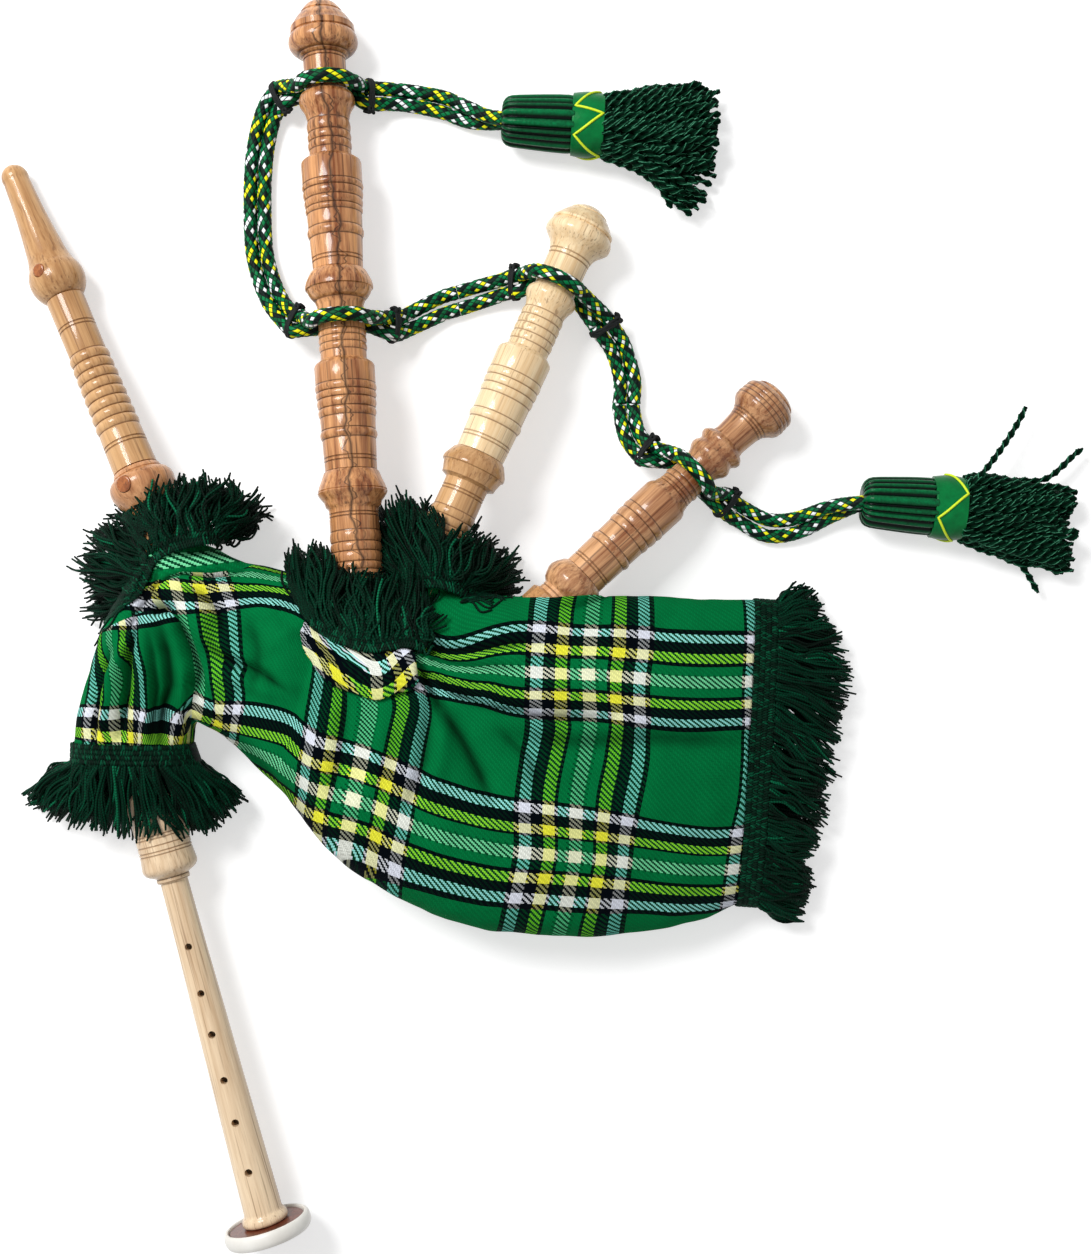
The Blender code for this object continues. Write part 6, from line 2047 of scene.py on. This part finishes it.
def tassel_skirt(number, seed):
    rng = np.random.default_rng(seed)
    place = tassel_place(number)
    lines, shades = [], []
    for i in range(130):
        angle = 2 * math.pi * rng.random()
        inner = 1.0 - 0.55 * rng.random() ** 1.6
        x0 = 14.2 * math.cos(angle) * inner
        y0 = 12.6 * math.sin(angle) * inner
        spread, drift, bulge = SKIRT_LOOKS[number]
        x1 = x0 * spread * rng.uniform(0.88, 1.06) + drift + rng.normal(0, 1.6)
        reach = rng.uniform(94.0, 106.0)
        stray = number == 1 and x0 < -6.0 and rng.random() < 0.45
        if stray:
            x1 = -rng.uniform(30.0, 42.0)
            reach = rng.uniform(84.0, 102.0)
        if number == 2 and i < len(LONG_STRAYS):
            stray = True
            bulge = 0.0
            x0, x1, reach = LONG_STRAYS[i]
        y1 = -12.5 + (y0 + 13.0) * 0.6
        line = []
        phase, waves = rng.uniform(0, 6.28), rng.uniform(0.5, 1.8)
        wide = rng.choice((1.2, 2.0, 3.6))
        for j in range(46):
            w = j / 45
            at = 47.5 + (reach - 47.5) * w
            sway = wide * math.sin(2 * math.pi * waves * w + phase) * w ** 0.7
            x = x0 + (x1 - x0) * w ** (1.7 if stray else 1.1) + sway
            x += bulge * x0 * math.sin(math.pi * min(1.0, w) ** 0.5)
            y = y0 + (y1 - y0) * w ** 1.3 + 1.3 * math.sin(2 * math.pi * waves * w + phase + 1.6) * w
            spot = place @ Vector((x * MM, max(y, -12.6) * MM, at * MM))
            line.append(tuple(spot / MM))
        lines.append(line)
        shades.append(rng.random())
    skirt = cord_bundle("tassel_{}_skirt_cords".format(number), np.array(lines), 1.9, 10.5,
                        FINISHES["skirt_cord"], np.array(shades))
    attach(skirt, TASSEL_BODY[number])
    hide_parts("tassel_{}_skirt".format(number))


for number in TASSELS:
    tassel_head(number)
    tassel_band(number)
    tassel_zigzag(number)
    tassel_skirt(number, 400 + number)

# %% [markdown]
# ## Ties of the cord
# Black thread is wound round both strands on each side of a pipe and knotted, so that the
# loop can't slip. Each tie is a short winding that climbs along the cord, with two loose ends.

# %% Black ties
TIES = {
    "bass_top_right": ((-26.0, 260.2, 10.6), (0, 3.9, 0), (-0.857, 0, 0.5153)),
    "bass_top_left": ((-69.6, 259.6, 9.6), (-2.0, 3.4, 0), (-0.7054, -0.4149, -0.5747)),
    "bass_middle_left": ((-61.4, 147.1, 17.0), (-1.4, -3.5, 0), (0.7432, -0.2973, 0.5993)),
    "bass_middle_right": ((-13.6, 145.3, 16.0), (-0.3, -3.9, 0), (0.6679, -0.0514, -0.7425)),
    "tenor_left_outer": ((46.6, 167.4, 10.5), (0, -4, 0), (0.7524, 0, 0.6587)),
    "tenor_left_inner": ((90.2, 146.0, 11.5), (-3.1, -2.1, 0), (0.5012, -0.7399, -0.4486)),
    "tenor_right_outer": ((111.0, 84.4, 11.5), (-2.1, -3.1, 0), (0.7398, -0.5011, 0.449)),
    "tenor_right_inner": ((150.0, 58.9, 11.0), (-2.4, -2.9, 0), (0.6171, -0.5107, -0.5987)),
}
TIE_BODY = {"bass_top": "bass_top", "bass_middle": "bass_middle",
            "tenor_left": "tenor_left_top", "tenor_right": "tenor_right_top"}


def tie(name, middle, half, along):
    rng = np.random.default_rng(len(name) * 7 + ord(name[-1]))
    middle, half, along = (np.array(v, dtype=float) for v in (middle, half, along))
    wide = np.linalg.norm(half)
    out = half / wide
    up = np.cross(along, out)
    up *= np.sign(up[2])
    winding, ends = [], []
    for w in np.linspace(0, 1, 90):
        turn = 2 * math.pi * 2.6 * w
        spread = (wide * np.sign(math.cos(turn)) * abs(math.cos(turn)) ** 0.7
                  + 3.85 * math.cos(turn))
        winding.append(middle + out * spread + up * 3.85 * math.sin(turn)
                       + along * (2.4 * (w - 0.5) + 0.25 * math.sin(5.3 * turn)))
    knot = middle - out * (wide + 3.4) + up * 1.4
    for lean in (-1, 1):
        end = [knot - out * 1.3 * math.sin(2.6 * w) * 1.2 + along * lean * 2.6 * w
               + up * (1.6 * math.sin(3.0 * w) - 1.4 * w) for w in np.linspace(0, 1, 90)]
        ends.append(end)
    loop = [knot + out * 1.1 * math.cos(7 * math.pi * w) + along * 1.2 * math.sin(7 * math.pi * w)
            + up * 1.4 * math.sin(5 * math.pi * w) for w in np.linspace(0, 1, 90)]
    lines = np.array([winding, *ends, loop])
    lines += rng.normal(0, 0.03, lines.shape)
    obj = strands("cord_band_" + name + "_tie", lines, 0.85, FINISHES["black_band"],
                  np.zeros(4), 8)
    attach(obj, TIE_BODY[name.rsplit("_", 1)[0]])
    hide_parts("cord_band_" + name)


for name, (middle, half, along) in TIES.items():
    tie(name, middle, half, along)
